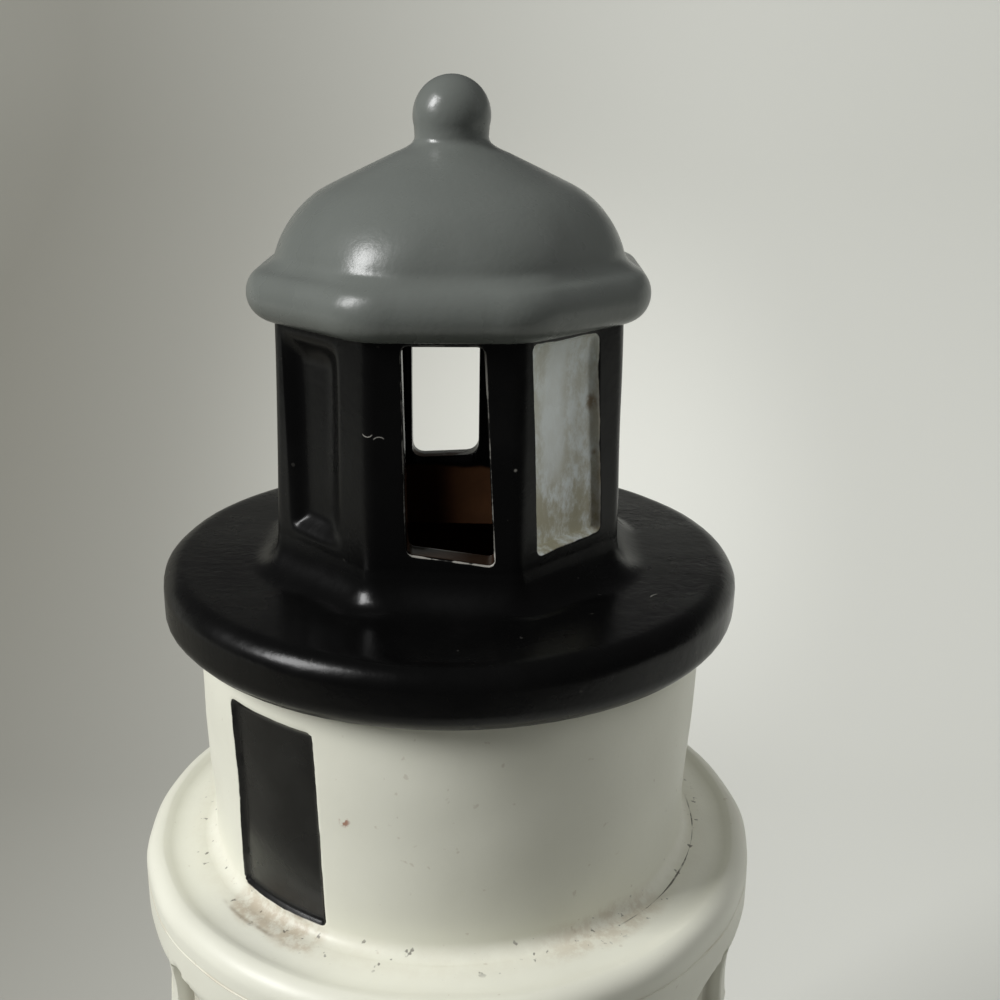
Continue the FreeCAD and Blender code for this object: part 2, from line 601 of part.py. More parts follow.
def light_deck():
    """Annular top plate with a rounded rim, a snap skirt and the switch's slot."""
    edge = DECK_EDGE_ROUND
    hole = LENS_RADIUS + LIGHT_GAP
    plate = turned((hole, DECK_FOOT_Z), (LIGHT_RADIUS, DECK_FOOT_Z), (LIGHT_RADIUS, LIGHT_TOP_Z - edge),
                   quarter((LIGHT_RADIUS, LIGHT_TOP_Z - edge), (LIGHT_RADIUS - edge, LIGHT_TOP_Z)),
                   (hole, LIGHT_TOP_Z))
    skirt_radius = LIGHT_BORE - LIGHT_GAP / 2
    skirt = tube(skirt_radius, skirt_radius - SKIRT_WALL, DECK_FOOT_Z - SKIRT_DROP, SKIRT_DROP)
    width = SWITCH_KNOB + 2 * LIGHT_GAP
    slot = Part.makeBox(width + SWITCH_TRAVEL, width, DECK_THICKNESS + 2 * CUT_PAST,
                        vec(-width / 2, -SWITCH_DISTANCE - width / 2, DECK_FOOT_Z - CUT_PAST))
    return plate.fuse(skirt).cut(slot)


def switch_body():
    length = SWITCH_TRAVEL + SWITCH_KNOB + 2 * SWITCH_BODY_MARGIN
    return Part.makeBox(length, SWITCH_KNOB, SWITCH_BODY_HEIGHT,
                        vec(SWITCH_TRAVEL / 2 - length / 2, -SWITCH_DISTANCE - SWITCH_KNOB / 2, BOARD_TOP_Z))


def switch_knob():
    """Sliding thumb knob with three finger grooves; it stands at off."""
    foot = BOARD_TOP_Z + SWITCH_BODY_HEIGHT + LIGHT_GAP / 2
    top = LIGHT_TOP_Z + KNOB_RISE
    half = SWITCH_KNOB / 2
    front = -SWITCH_DISTANCE - half
    stem = Part.makeBox(SWITCH_KNOB, SWITCH_KNOB, top - foot, vec(-half, front, foot))
    return stem.cut([Part.makeCylinder(KNOB_GROOVE_RADIUS, SWITCH_KNOB,
                                       vec(step * KNOB_GROOVE_PITCH, front, top), vec(0, 1))
                     for step in (-1, 0, 1)])


NODES = {
    "base_plinth": base_plinth,
    "tower_shell": tower_shell,
    "gallery_cornice": gallery_cornice,
    "watch_room": watch_room,
    "lantern_room": lantern_room,
    "roof_dome": roof_dome,
    "light_housing": light_housing,
    "battery_cover": battery_cover,
    "cover_seal": cover_seal,
    "battery_1": lambda: battery(-1),
    "battery_2": lambda: battery(1),
    "contact_springs": contact_springs,
    "contact_plates": contact_plates,
    "battery_tray": battery_tray,
    "circuit_board": circuit_board,
    "board_screws": board_screws,
    "led": led,
    "reflector": reflector,
    "lens": lens,
    "light_deck": light_deck,
    "switch_body": switch_body,
    "switch_knob": switch_knob,
}


def main():
    os.makedirs("parts", exist_ok=True)
    for name, make in NODES.items():
        shape = make()
        print(name, "valid" if shape.isValid() else "INVALID", len(shape.Solids), round(shape.Volume))
        save(name, shape)


main()
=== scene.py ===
"""Looks of a fired-clay garden lighthouse: coated castings round a small battery light.

Metres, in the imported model's own frame: +Z up the tower, the photographed window towards -Y.
An angle round the axis is in radians from -Y towards +X.
"""
import functools
import math

import bpy
import numpy as np
from mathutils import Matrix, Vector


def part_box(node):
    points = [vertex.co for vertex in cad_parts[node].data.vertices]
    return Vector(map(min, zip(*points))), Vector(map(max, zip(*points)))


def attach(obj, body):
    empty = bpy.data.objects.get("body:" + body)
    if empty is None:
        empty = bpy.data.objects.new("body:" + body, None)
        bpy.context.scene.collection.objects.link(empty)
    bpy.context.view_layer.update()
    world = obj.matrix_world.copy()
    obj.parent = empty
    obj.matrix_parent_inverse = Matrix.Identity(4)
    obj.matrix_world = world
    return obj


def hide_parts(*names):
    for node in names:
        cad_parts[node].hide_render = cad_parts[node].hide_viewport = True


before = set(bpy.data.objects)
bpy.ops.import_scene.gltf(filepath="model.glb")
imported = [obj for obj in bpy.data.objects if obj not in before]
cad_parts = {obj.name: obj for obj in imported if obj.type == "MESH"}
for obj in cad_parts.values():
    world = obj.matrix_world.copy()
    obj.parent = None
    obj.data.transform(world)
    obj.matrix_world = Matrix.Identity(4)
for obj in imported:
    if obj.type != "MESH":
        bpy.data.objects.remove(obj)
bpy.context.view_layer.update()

MM = 0.001

# ---------------------------------------------------------------- sizes read from the frame
PLINTH_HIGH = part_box("base_plinth")[1]
TOWER_LOW, TOWER_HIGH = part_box("tower_shell")
DRUM_LOW, DRUM_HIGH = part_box("watch_room")
COLLAR_FOOT_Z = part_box("lantern_room")[0].z
ROOF_LOW, ROOF_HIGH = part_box("roof_dome")

TOWER_FOOT_Z = TOWER_LOW.z
CORNICE_FOOT_Z = TOWER_HIGH.z
DECK_Z = DRUM_LOW.z
DISC_FOOT_Z = DRUM_HIGH.z
DISC_TOP_Z = DISC_FOOT_Z + 13.6 * MM        # the disc is this thick
EAVE_Z = ROOF_LOW.z

# ---------------------------------------------------------------- sizes of the castings
# most repeat the solids'; the cornice's fascia, the watch room's door, the lantern's corners and
# openings and the dome follow the photograph more closely than the solids do
CLAY_WALL = 6.0 * MM
ROOF_WALL = 5.0 * MM
LUTE_GAP = 0.4 * MM
RECESS_DEPTH = 1.8 * MM

PLINTH_RADIUS = PLINTH_HIGH.x
PLINTH_TOP_Z = TOWER_FOOT_Z
PLINTH_BEAD = 8.0 * MM
PLINTH_STEP_IN = 6.0 * MM
PLINTH_EDGE_ROUND = 2.5 * MM
PLINTH_SPIGOT = 6.0 * MM

TOWER_FOOT_RADIUS = PLINTH_RADIUS - 9.0 * MM
TOWER_TOP_RADIUS = 70.0 * MM
TOWER_DOOR_HALF = 13.0 * MM
TOWER_DOOR_SILL = 8.0 * MM
TOWER_DOOR_HEIGHT = 50.0 * MM
TOWER_WINDOW_HALF = 8.0 * MM
TOWER_WINDOW_HEIGHT = 30.0 * MM
TOWER_WINDOWS = ((-38.5, 112.0 * MM), (51.5, 74.0 * MM), (141.5, 112.0 * MM), (-128.5, 74.0 * MM))
TOWER_OPENING_ROUND = 2.0 * MM
DOOR_ANGLE = math.radians(-38.5)

CORNICE_RADIUS = 73.4 * MM
CORNICE_ROUND = 4.2 * MM
DECK_DIP = 0.8 * MM
CORNICE_HOLE = 22.0 * MM
CORNICE_FLOOR = 6.0 * MM
CORNICE_SPIGOT = 8.0 * MM
GROOVE_DOWN = 7.0 * MM
GROOVE_DEPTH = 0.25 * MM
FASCIA_HEIGHT = 14.4 * MM
CORBELS = 16
CORBEL_TURN = math.radians(-7.5)
CORBEL_WIDTH = 9.0 * MM
CORBEL_FOOT_RADIUS = 71.0 * MM
CORBEL_BOW = -1.3 * MM
CORBEL_SPRING = 6.0 * MM
HOLLOW_PLANE = 66.0 * MM

DRUM_TOP_RADIUS = 58.2 * MM
DRUM_FOOT_RADIUS = 56.6 * MM
DRUM_FILLET = 3.0 * MM
WATCH_DOOR_HALF = 12.2 * MM
WATCH_DOOR_SILL = 2.5 * MM
WATCH_DOOR_HEIGHT = 46.2 * MM
WATCH_DOOR_DEPTH = 1.0 * MM
WATCH_DOOR_ROUND = 1.5 * MM
WATCH_DOOR_SPREAD = 0.07

DISC_RADIUS = 65.0 * MM
DISC_EDGE_ROUND = 4.6 * MM
COLLAR_RADIUS = 51.4 * MM
COLLAR_WALL = 5.4 * MM
LANTERN_TOP_HALF = 36.2 * MM
LANTERN_FOOT_HALF = 37.2 * MM
LANTERN_BORE_HALF = 31.2 * MM
LANTERN_CORNER = 4.4 * MM
CORNER_SPREAD = 3.0
CORNER_MOST = 0.7
FLARE_REACH = 7.6 * MM
FLARE_RISE = 7.2 * MM
WINDOW_SILL_Z = DISC_TOP_Z + 10.9 * MM
WINDOW_HEAD_Z = EAVE_Z - 0.9 * MM
REVEAL_EDGE = 0.25 * MM

# the hand-cut openings, face by face from -Y towards +X: windows and blind panels take turns
OPENING_WIDTHS = np.array([16.8, 19.4] * 4) * MM
OPENING_TAPERS = np.array([0.85, 0.2, 0, 0, 0, 0, 0, 0]) * MM
OPENING_OFFSETS = np.array([1.4, -0.3, 0, -0.3, 2.5, -0.3, 0, -0.3]) * MM
OPENING_LEANS = np.array([1.75, 2.3, 1.0, 2.3, 0, 2.3, 1.0, 2.3]) * MM
OPENING_TILTS = np.array([1.1, -0.5, 0.4, 0.3, 0.5, -0.3, -0.4, 0.4]) * MM
OPENING_LIFTS = np.array([0, 0, 0, 0, 1.0, 0, 0, 0]) * MM
OPENING_FOOT_ROUNDS = np.array([1.4, 1.6, 1.4, 1.6, 3.0, 1.6, 1.4, 1.6]) * MM
OPENING_TOP_ROUND = 1.4 * MM
PANEL_DEPTH = 2.8 * MM
PANEL_SOFTNESS = np.array([1.0, 1.0, 1.0, 2.2, 1.0, 1.3, 1.0, 3.4]) * MM
PANEL_SPREAD = np.array([0, 0, 0, 0.4, 0, 0, 0, 0.9]) * MM
PANEL_FADE = np.array([0, 0.45, 0, 0, 0, 0, 0, 1.0])

SHOULDER_Z = EAVE_Z + 11.2 * MM
EAVE_HALF = 42.0 * MM
EAVE_LIP = 5.2 * MM
EAVE_HEIGHT = 11.2 * MM
EAVE_CORNER = 15.0 * MM
DOME_SIDE = 37.0 * MM
DOME_BEND = 26.5 * MM
DOME_BEND_RISE = 14.6 * MM
DOME_BOW = 2.1 * MM
DOME_TOP = 10.4 * MM
DOME_RISE = 22.2 * MM
DOME_ROUNDNESS = 0.62
NECK_RADIUS = 7.8 * MM
NECK_RISE = 2.4 * MM
NECK_BOW = 0.7 * MM
SOFTENED_OVER = 4.2 * MM
BALL_RADIUS = 8.2 * MM
ROOF_HOLLOW_TOP = 8.0 * MM

# columns of the turned pieces' grids
PLINTH_COLUMNS, TOWER_COLUMNS, DRUM_COLUMNS, ROOF_COLUMNS = 320, 420, 640, 320
CORNICE_COLUMNS = 44 * CORBELS
SHARP_EDGE = math.radians(50)

# hand-made unevenness: depth, size across and the seed of its waves
PLINTH_WEAR, TOWER_WEAR = (0.4 * MM, 35 * MM, 2), (0.5 * MM, 45 * MM, 3)
CORNICE_WEAR, DRUM_WEAR = (0.45 * MM, 30 * MM, 4), (0.4 * MM, 28 * MM, 6)
LANTERN_DENT, DENT_SIZE, DENT_SEED = 0.3 * MM, 22 * MM, 11
WAVES = 6

# the lantern and roof stand a little to the left and the eave tilts, as the photographed one does
LANTERN_ASIDE = -0.3 * MM
EAVE_TILT = 0.011

# the black on the inside of the lantern ends here, and raw clay shows below
OVERSPRAY_Z = DISC_TOP_Z + 8.6 * MM

# camera, fitted to the round edges of the disc, drum and cornice
PHOTO_SIDE = 1000
FOCAL_PIXELS = 1250
CAMERA_PLACE = Vector((9.42, -269.70, 421.16)) * MM
CAMERA_TURN, CAMERA_DIP, CAMERA_ROLL = (math.radians(a) for a in (0.339, 19.054, 1.0))


# ---------------------------------------------------------------- mesh helpers
def mesh_piece(name, points, faces, body, replaced, material, values=None):
    """Mesh from an (n, 3) array and arrays of quads or triangles; values are per-point attributes.

    Points that no face uses are dropped.
    """
    corners = np.concatenate([face.ravel() for face in faces])
    sizes = np.concatenate([np.full(len(face), face.shape[1]) for face in faces])
    used, corners = np.unique(corners, return_inverse=True)
    mesh = bpy.data.meshes.new(name)
    mesh.vertices.add(len(used))
    mesh.vertices.foreach_set("co", points[used].astype(np.float32).ravel())
    mesh.loops.add(len(corners))
    mesh.loops.foreach_set("vertex_index", corners.astype(np.int32).ravel())
    mesh.polygons.add(len(sizes))
    mesh.polygons.foreach_set("loop_start", (np.cumsum(sizes) - sizes).astype(np.int32))
    mesh.update(calc_edges=True)
    mesh.shade_smooth()
    mesh.set_sharp_from_angle(angle=SHARP_EDGE)
    for key, value in (values or {}).items():
        layer = mesh.attributes.new(key, "FLOAT", "POINT")
        layer.data.foreach_set("value", value.ravel()[used].astype(np.float32))
    mesh.materials.append(material)
    piece = bpy.data.objects.new(name, mesh)
    bpy.context.scene.collection.objects.link(piece)
    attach(piece, body)
    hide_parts(*replaced)


def ring_quads(rows, columns, closed_rows):
    """Quads of a grid that closes round its columns and, if asked, joins its last row to its first."""
    last = rows if closed_rows else rows - 1
    row, col = np.meshgrid(np.arange(last), np.arange(columns), indexing="ij")
    nxt_row, nxt_col = (row + 1) % rows, (col + 1) % columns
    return np.stack([row * columns + col, row * columns + nxt_col,
                     nxt_row * columns + nxt_col, nxt_row * columns + col], -1)


def arc_rows(centre, radius, start, end, count):
    """Rows (r, z) on a circle arc of the profile, angles in degrees from outwards towards up."""
    angle = np.radians(np.linspace(start, end, count))
    return np.stack([centre[0] + radius * np.cos(angle), centre[1] + radius * np.sin(angle)], -1)


def soft_step(value, low, high):
    """0 below low, 1 above high, and a cubic ease between."""
    t = np.clip((value - low) / (high - low), 0, 1)
    return t * t * (3 - 2 * t)


def waviness(x, y, z, size, seed):
    """Smooth unevenness: a sum of sine waves in fixed pseudo-random directions, about -1 to 1."""
    rng = np.random.default_rng(seed)
    total = 0
    for _ in range(WAVES):
        direction = rng.normal(size=3)
        direction /= np.linalg.norm(direction)
        phase = rng.uniform(0, 2 * math.pi)
        stretch = rng.uniform(0.7, 1.5)
        total = total + np.sin((x * direction[0] + y * direction[1] + z * direction[2])
                               * 2 * math.pi * stretch / size + phase)
    return total * 2 / WAVES


def angle_from(angle, middle):
    """Signed difference of two directions, wrapped to half a turn."""
    return (angle - middle + math.pi) % (2 * math.pi) - math.pi


def box_distance(across, up, half_width, foot, head, corner):
    """Signed distance to a rounded upright rectangle, negative inside."""
    qx = np.abs(across) - half_width + corner
    qz = np.abs(up - (foot + head) / 2) - (head - foot) / 2 + corner
    outside = np.hypot(np.maximum(qx, 0), np.maximum(qz, 0))
    return outside + np.minimum(np.maximum(qx, qz), 0) - corner


# ---------------------------------------------------------------- forms
def bow_rows(start, end, bow, count):
    """Rows on an arc from start to end whose middle lies bow to the right of the straight way."""
    start, end = np.array(start), np.array(end)
    way = end - start
    chord = np.hypot(*way)
    right = np.array([way[1], -way[0]]) / chord
    radius = (chord ** 2 / 4 + bow ** 2) / (2 * abs(bow))
    centre = (start + end) / 2 + right * (bow - math.copysign(radius, bow))
    first = math.atan2(start[1] - centre[1], start[0] - centre[0])
    last = first + angle_from(math.atan2(end[1] - centre[1], end[0] - centre[0]), first)
    angle = np.linspace(first, last, count)[:, None]
    return centre + radius * np.concatenate([np.cos(angle), np.sin(angle)], 1)


def quarter_rows(start, end, count, side=1):
    """Rows on a quarter round from start to end: a round edge for side 1, a fillet for side -1."""
    chord = math.hypot(end[0] - start[0], end[1] - start[1])
    return bow_rows(start, end, side * chord / 2 * math.tan(math.pi / 8), count)


def joined(*parts):
    """One array of rows; a row that repeats the one before it is dropped."""
    rows = np.concatenate([np.atleast_2d(part) for part in parts])
    keep = np.ones(len(rows), bool)
    keep[1:] = np.abs(np.diff(rows, axis=0)).max(1) > 1e-7
    return rows[keep]


def straight(*points, step=2.5 * MM):
    """Rows along straight lines through the points, no further apart than step."""
    parts = []
    for start, end in zip(points[:-1], points[1:]):
        length = math.hypot(end[0] - start[0], end[1] - start[1])
        share = np.linspace(0, 1, max(1, math.ceil(length / step)), endpoint=False)[:, None]
        parts.append(np.array(start) * (1 - share) + np.array(end) * share)
    return np.concatenate(parts + [np.atleast_2d(points[-1])])


def softened(rows, reach, share):
    """Rows spaced evenly and averaged over reach along the profile, where share(level) is near 1."""
    length = np.concatenate([[0], np.cumsum(np.hypot(*np.diff(rows, axis=0).T))])
    even = np.linspace(0, length[-1], math.ceil(length[-1] / (0.6 * MM)) + 1)
    spaced = np.stack([np.interp(even, length, rows[:, k]) for k in (0, 1)], -1)
    near = np.linspace(-reach / 2, reach / 2, 9)[:, None]
    mean = np.stack([np.interp(even + near, length, rows[:, k]).mean(0) for k in (0, 1)], -1)
    return spaced + (mean - spaced) * share(spaced[:, 1])[:, None]


def octagon_radius(angle, half_flats, corner):
    """Distance from the axis to a rounded octagon that has a flat towards angle 0.

    On a flat it is half_flats / cos a. On a corner it is the far crossing of the ray with the
    corner's circle, whose centre lies (half_flats - corner) / cos 22.5 out. Where the corner's
    radius equals half_flats, the outline is a circle.
    """
    eighth = math.pi / 8
    off = (angle + eighth) % (2 * eighth) - eighth
    reach = (half_flats - corner) * math.tan(eighth)
    centre = (half_flats - corner) / math.cos(eighth)
    swing = eighth - np.abs(off)
    arc = centre * np.cos(swing) + np.sqrt(np.maximum(corner ** 2 - (centre * np.sin(swing)) ** 2, 0))
    return np.where(half_flats * np.abs(np.tan(off)) <= reach, half_flats / np.cos(off), arc)


def worn_in(radius, angle, level, amount, size, seed):
    """Hand-made unevenness: the surface comes inwards by 0 to amount and never outwards."""
    x, y = radius * np.sin(angle), -radius * np.cos(angle)
    return radius - amount * (0.5 + 0.5 * np.clip(waviness(x, y, level, size, seed), -1, 1))


def round_grid(rows, columns):
    """Angle, radius and level arrays of a profile repeated round the axis."""
    angle = np.linspace(0, 2 * math.pi, columns, endpoint=False)[None, :]
    radius = rows[:, :1] + 0 * angle
    return angle + 0 * radius, radius, rows[:, 1:2] + 0 * angle


def round_points(angle, radius, level):
    """Points (r sin a, -r cos a, z) of the three arrays."""
    return np.stack([radius * np.sin(angle), -radius * np.cos(angle), level], -1)


def turned_piece(name, angle, radius, level, replaced, finish, values=None):
    """White piece of the tower from a closed profile's arrays: its rows and columns both close."""
    grid = round_points(angle, radius, level)
    faces = [ring_quads(*grid.shape[:2], True).reshape(-1, 4)]
    mesh_piece(name, grid.reshape(-1, 3), faces, "tower", [replaced], FINISH[finish], values)


def capped_faces(rows, columns):
    """Faces of an open profile whose two ends are closed by fans to apex points 0 and last."""
    quads = ring_quads(rows, columns, False).reshape(-1, 4) + 1
    around = np.arange(columns) + 1
    beyond = np.roll(around, -1)
    top = (rows - 1) * columns
    first = np.stack([np.zeros(columns, int), beyond, around], -1)
    last = np.stack([np.full(columns, rows * columns + 1), top + around, top + beyond], -1)
    return [quads, first, last]


def sunk_openings(angle, radius, level, openings, soft):
    """Distance outside the nearest of the upright openings, and the share that each point sinks.

    An opening is (angle, half width, foot, head, corner). The share rises from 0 at its edge to 1
    at soft inside it.
    """
    nearest = np.full(angle.shape, 1.0)
    for middle, half, foot, head, corner in openings:
        across = angle_from(angle, middle) * radius
        nearest = np.minimum(nearest, box_distance(across, level, half, foot, head, corner))
    return nearest, soft_step(-nearest, 0, soft)


# ---------------------------------------------------------------- castings
def build_plinth():
    """Ring turned round Z: half-round bead, upper step with a round edge, spigot inside the tower."""
    top, bead, back = PLINTH_TOP_Z, PLINTH_BEAD, PLINTH_RADIUS - PLINTH_BEAD
    step = PLINTH_RADIUS - PLINTH_STEP_IN
    inner, ring = TOWER_FOOT_RADIUS - 2 * CLAY_WALL, TOWER_FOOT_RADIUS - CLAY_WALL - LUTE_GAP
    edge = PLINTH_EDGE_ROUND
    meets = 180 - math.degrees(math.acos((step - back) / bead)) - 90
    rows = joined(straight((inner, 0), (back, 0)),
                  arc_rows((back, bead), bead, -90, 90 - meets, 26),
                  straight((step, bead + math.sqrt(bead ** 2 - (step - back) ** 2)), (step, top - edge),
                           step=1.0 * MM),
                  quarter_rows((step, top - edge), (step - edge, top), 8),
                  straight((step - edge, top), (ring, top), (ring, top + PLINTH_SPIGOT),
                           (inner, top + PLINTH_SPIGOT), (inner, 0)))[:-1]
    angle, radius, level = round_grid(rows, PLINTH_COLUMNS)
    outside = (radius > TOWER_FOOT_RADIUS) & (level > 1 * MM)
    radius = np.where(outside, worn_in(radius, angle, level, *PLINTH_WEAR), radius)
    turned_piece("plinth_casting", angle, radius, level, "base_plinth", "plinth")


def build_tower():
    """Cone turned round Z, its door and windows sunk where a rounded box's distance is negative.

    painted is the distance outside the nearest of them, and 1 on the raw inside.
    """
    foot, top = (TOWER_FOOT_RADIUS, TOWER_FOOT_Z), (TOWER_TOP_RADIUS, CORNICE_FOOT_Z)
    inner_top, inner_foot = (top[0] - CLAY_WALL, top[1]), (foot[0] - CLAY_WALL, foot[1])
    rows = joined(straight(inner_foot, foot), straight(foot, top, step=1.3 * MM),
                  straight(top, inner_top), straight(inner_top, inner_foot, step=9 * MM))[:-1]
    angle, radius, level = round_grid(rows, TOWER_COLUMNS)
    openings = [(DOOR_ANGLE, TOWER_DOOR_HALF, TOWER_FOOT_Z + TOWER_DOOR_SILL,
                 TOWER_FOOT_Z + TOWER_DOOR_SILL + TOWER_DOOR_HEIGHT, TOWER_OPENING_ROUND)]
    for turn, sill in TOWER_WINDOWS:
        openings.append((math.radians(turn), TOWER_WINDOW_HALF, TOWER_FOOT_Z + sill,
                         TOWER_FOOT_Z + sill + TOWER_WINDOW_HEIGHT, TOWER_OPENING_ROUND))
    away, share = sunk_openings(angle, radius, level, openings, 1.6 * MM)
    slope = TOWER_TOP_RADIUS + (TOWER_FOOT_RADIUS - TOWER_TOP_RADIUS) * (
        CORNICE_FOOT_Z - level) / (CORNICE_FOOT_Z - TOWER_FOOT_Z)
    outside = radius > slope - 1 * MM
    radius = np.where(outside, worn_in(radius, angle, level, *TOWER_WEAR) - RECESS_DEPTH * share, radius)
    turned_piece("tower_casting", angle, radius, level, "tower_shell", "tower",
                 {"painted": np.where(outside, away, 1.0)})


def build_cornice():
    """Deck and grooved fascia turned round Z over corbels; arched hollows go back to flat planes.

    In a hollow's own direction its arch is |x| < half below the spring and a circle arc above it,
    and inside the arch the radius comes in to plane / cos of the angle from the hollow's middle.
    Over the share t of the way out from the drum the deck dips by 6.75 t^2 (1 - t) of DECK_DIP,
    which is all of it two thirds out.
    """
    foot, deck, edge, rim = CORNICE_FOOT_Z, DECK_Z, CORNICE_RADIUS, CORNICE_ROUND
    groove, dip, fascia = deck - GROOVE_DOWN, GROOVE_DEPTH, deck - FASCIA_HEIGHT
    inner = TOWER_TOP_RADIUS - 2 * CLAY_WALL
    ring = TOWER_TOP_RADIUS - CLAY_WALL - LUTE_GAP
    low, ceiling = foot - CORNICE_SPIGOT, deck - CORNICE_FLOOR
    rows = joined(straight((inner, low), (ring, low), (ring, foot)),
                  straight((ring, foot), (CORBEL_FOOT_RADIUS, foot), step=1.2 * MM),
                  bow_rows((CORBEL_FOOT_RADIUS, foot), (edge, fascia), CORBEL_BOW, 26),
                  straight((edge, fascia), (edge, groove - dip), step=1.2 * MM),
                  bow_rows((edge, groove - dip), (edge, groove + dip), -dip * 0.85, 7),
                  straight((edge, groove + dip), (edge, deck - rim), step=1.2 * MM),
                  quarter_rows((edge, deck - rim), (edge - rim, deck), 12),
                  straight((edge - rim, deck), (DRUM_FOOT_RADIUS, deck), step=1.5 * MM),
                  straight((DRUM_FOOT_RADIUS, deck), (CORNICE_HOLE, deck), (CORNICE_HOLE, ceiling),
                           (inner, ceiling), (inner, low), step=4 * MM))[:-1]
    drum = DRUM_FOOT_RADIUS + DRUM_FILLET
    out = np.clip((rows[:, 0] - drum) / (edge - rim - drum), 0, 1)
    rows[:, 1] -= DECK_DIP * 6.75 * out ** 2 * (1 - out) * (rows[:, 1] > deck - 0.1 * MM)
    angle, radius, level = round_grid(rows, CORNICE_COLUMNS)
    turn = 2 * math.pi / CORBELS
    off = (angle - CORBEL_TURN + turn / 2) % turn - turn / 2
    hollow = HOLLOW_PLANE / np.cos(off)
    across = np.abs(HOLLOW_PLANE * np.tan(off))
    half = (2 * math.pi * edge / CORBELS - CORBEL_WIDTH) / 2
    spring, crown = max(foot + CORBEL_SPRING, fascia - half), fascia
    arch = (half ** 2 + (crown - spring) ** 2) / (2 * (crown - spring))
    away = np.where(level > spring, np.hypot(across, level - crown + arch) - arch, across - half)
    inside_arch = soft_step(-away, -0.3 * MM, 1.0 * MM) * (level > foot - 1e-7) * (level < crown + 1e-7)
    outside = (radius > DRUM_FOOT_RADIUS) & (level > foot + 1e-7)
    radius = np.where(outside, worn_in(radius, angle, level, *CORNICE_WEAR), radius)
    radius = radius - np.maximum(radius - hollow, 0) * inside_arch
    turned_piece("cornice_casting", angle, radius, level, "gallery_cornice", "cornice",
                 {"hollow": inside_arch})


def build_watch_room():
    """Slightly flaring drum turned round Z, with a foot fillet and one shallow painted door.

    Angles from the door's middle are divided by a share that grows from 1 at its head to
    1 + WATCH_DOOR_SPREAD at its sill, so that an upright rectangle widens towards its foot.
    """
    foot, top, fillet = DECK_Z, DISC_FOOT_Z, DRUM_FILLET
    low, high = DRUM_FOOT_RADIUS, DRUM_TOP_RADIUS
    rows = joined(straight((low - CLAY_WALL, foot), (low + fillet, foot), step=1.5 * MM),
                  quarter_rows((low + fillet, foot), (low, foot + fillet), 9, -1),
                  straight((low, foot + fillet), (high, top), step=0.8 * MM),
                  straight((high, top), (high - CLAY_WALL, top)),
                  straight((high - CLAY_WALL, top), (low - CLAY_WALL, foot), step=5 * MM))[:-1]
    angle, radius, level = round_grid(rows, DRUM_COLUMNS)
    sill = foot + WATCH_DOOR_SILL
    spread = 1 + WATCH_DOOR_SPREAD * (1 - (level - sill) / WATCH_DOOR_HEIGHT)
    squeezed = DOOR_ANGLE + angle_from(angle, DOOR_ANGLE) / spread
    door = (DOOR_ANGLE, WATCH_DOOR_HALF, sill, sill + WATCH_DOOR_HEIGHT, WATCH_DOOR_ROUND)
    away, share = sunk_openings(squeezed, radius, level, [door], 0.9 * MM)
    outside = radius > DRUM_FOOT_RADIUS - 1 * MM
    radius = np.where(outside, worn_in(radius, angle, level, *DRUM_WEAR) - WATCH_DOOR_DEPTH * share, radius)
    turned_piece("watch_room_casting", angle, radius, level, "watch_room", "drum",
                 {"painted": np.where(outside, away, 1.0)})


# upright grid lines of a lantern face, out from its middle: the line at OPENING_HALF becomes the
# opening's edge, and lines past FLAT_KEPT are squeezed to the flat's end
FACE_LINES = np.array([0, 2, 4, 5.4, 6.4, 7.0, 7.5, 7.9, 8.15, 8.4, 9.0, 9.6, 10.4, 11.4, 12.5, 13.6]) * MM
OPENING_HALF = 8.4 * MM
FACE_END = 13.6 * MM
FLAT_KEPT = 12.8 * MM


def face_columns():
    """Each column's face, its place u along the flat and its share of the next corner's turn."""
    flat = np.concatenate([-FACE_LINES[:0:-1], FACE_LINES])
    turn = np.linspace(0, 1, 8)[1:-1]
    place = np.concatenate([flat, np.full(len(turn), FACE_END)])
    share = np.concatenate([np.zeros(len(flat)), turn])
    return np.repeat(np.arange(8), len(place)), np.tile(place, 8), np.tile(share, 8)


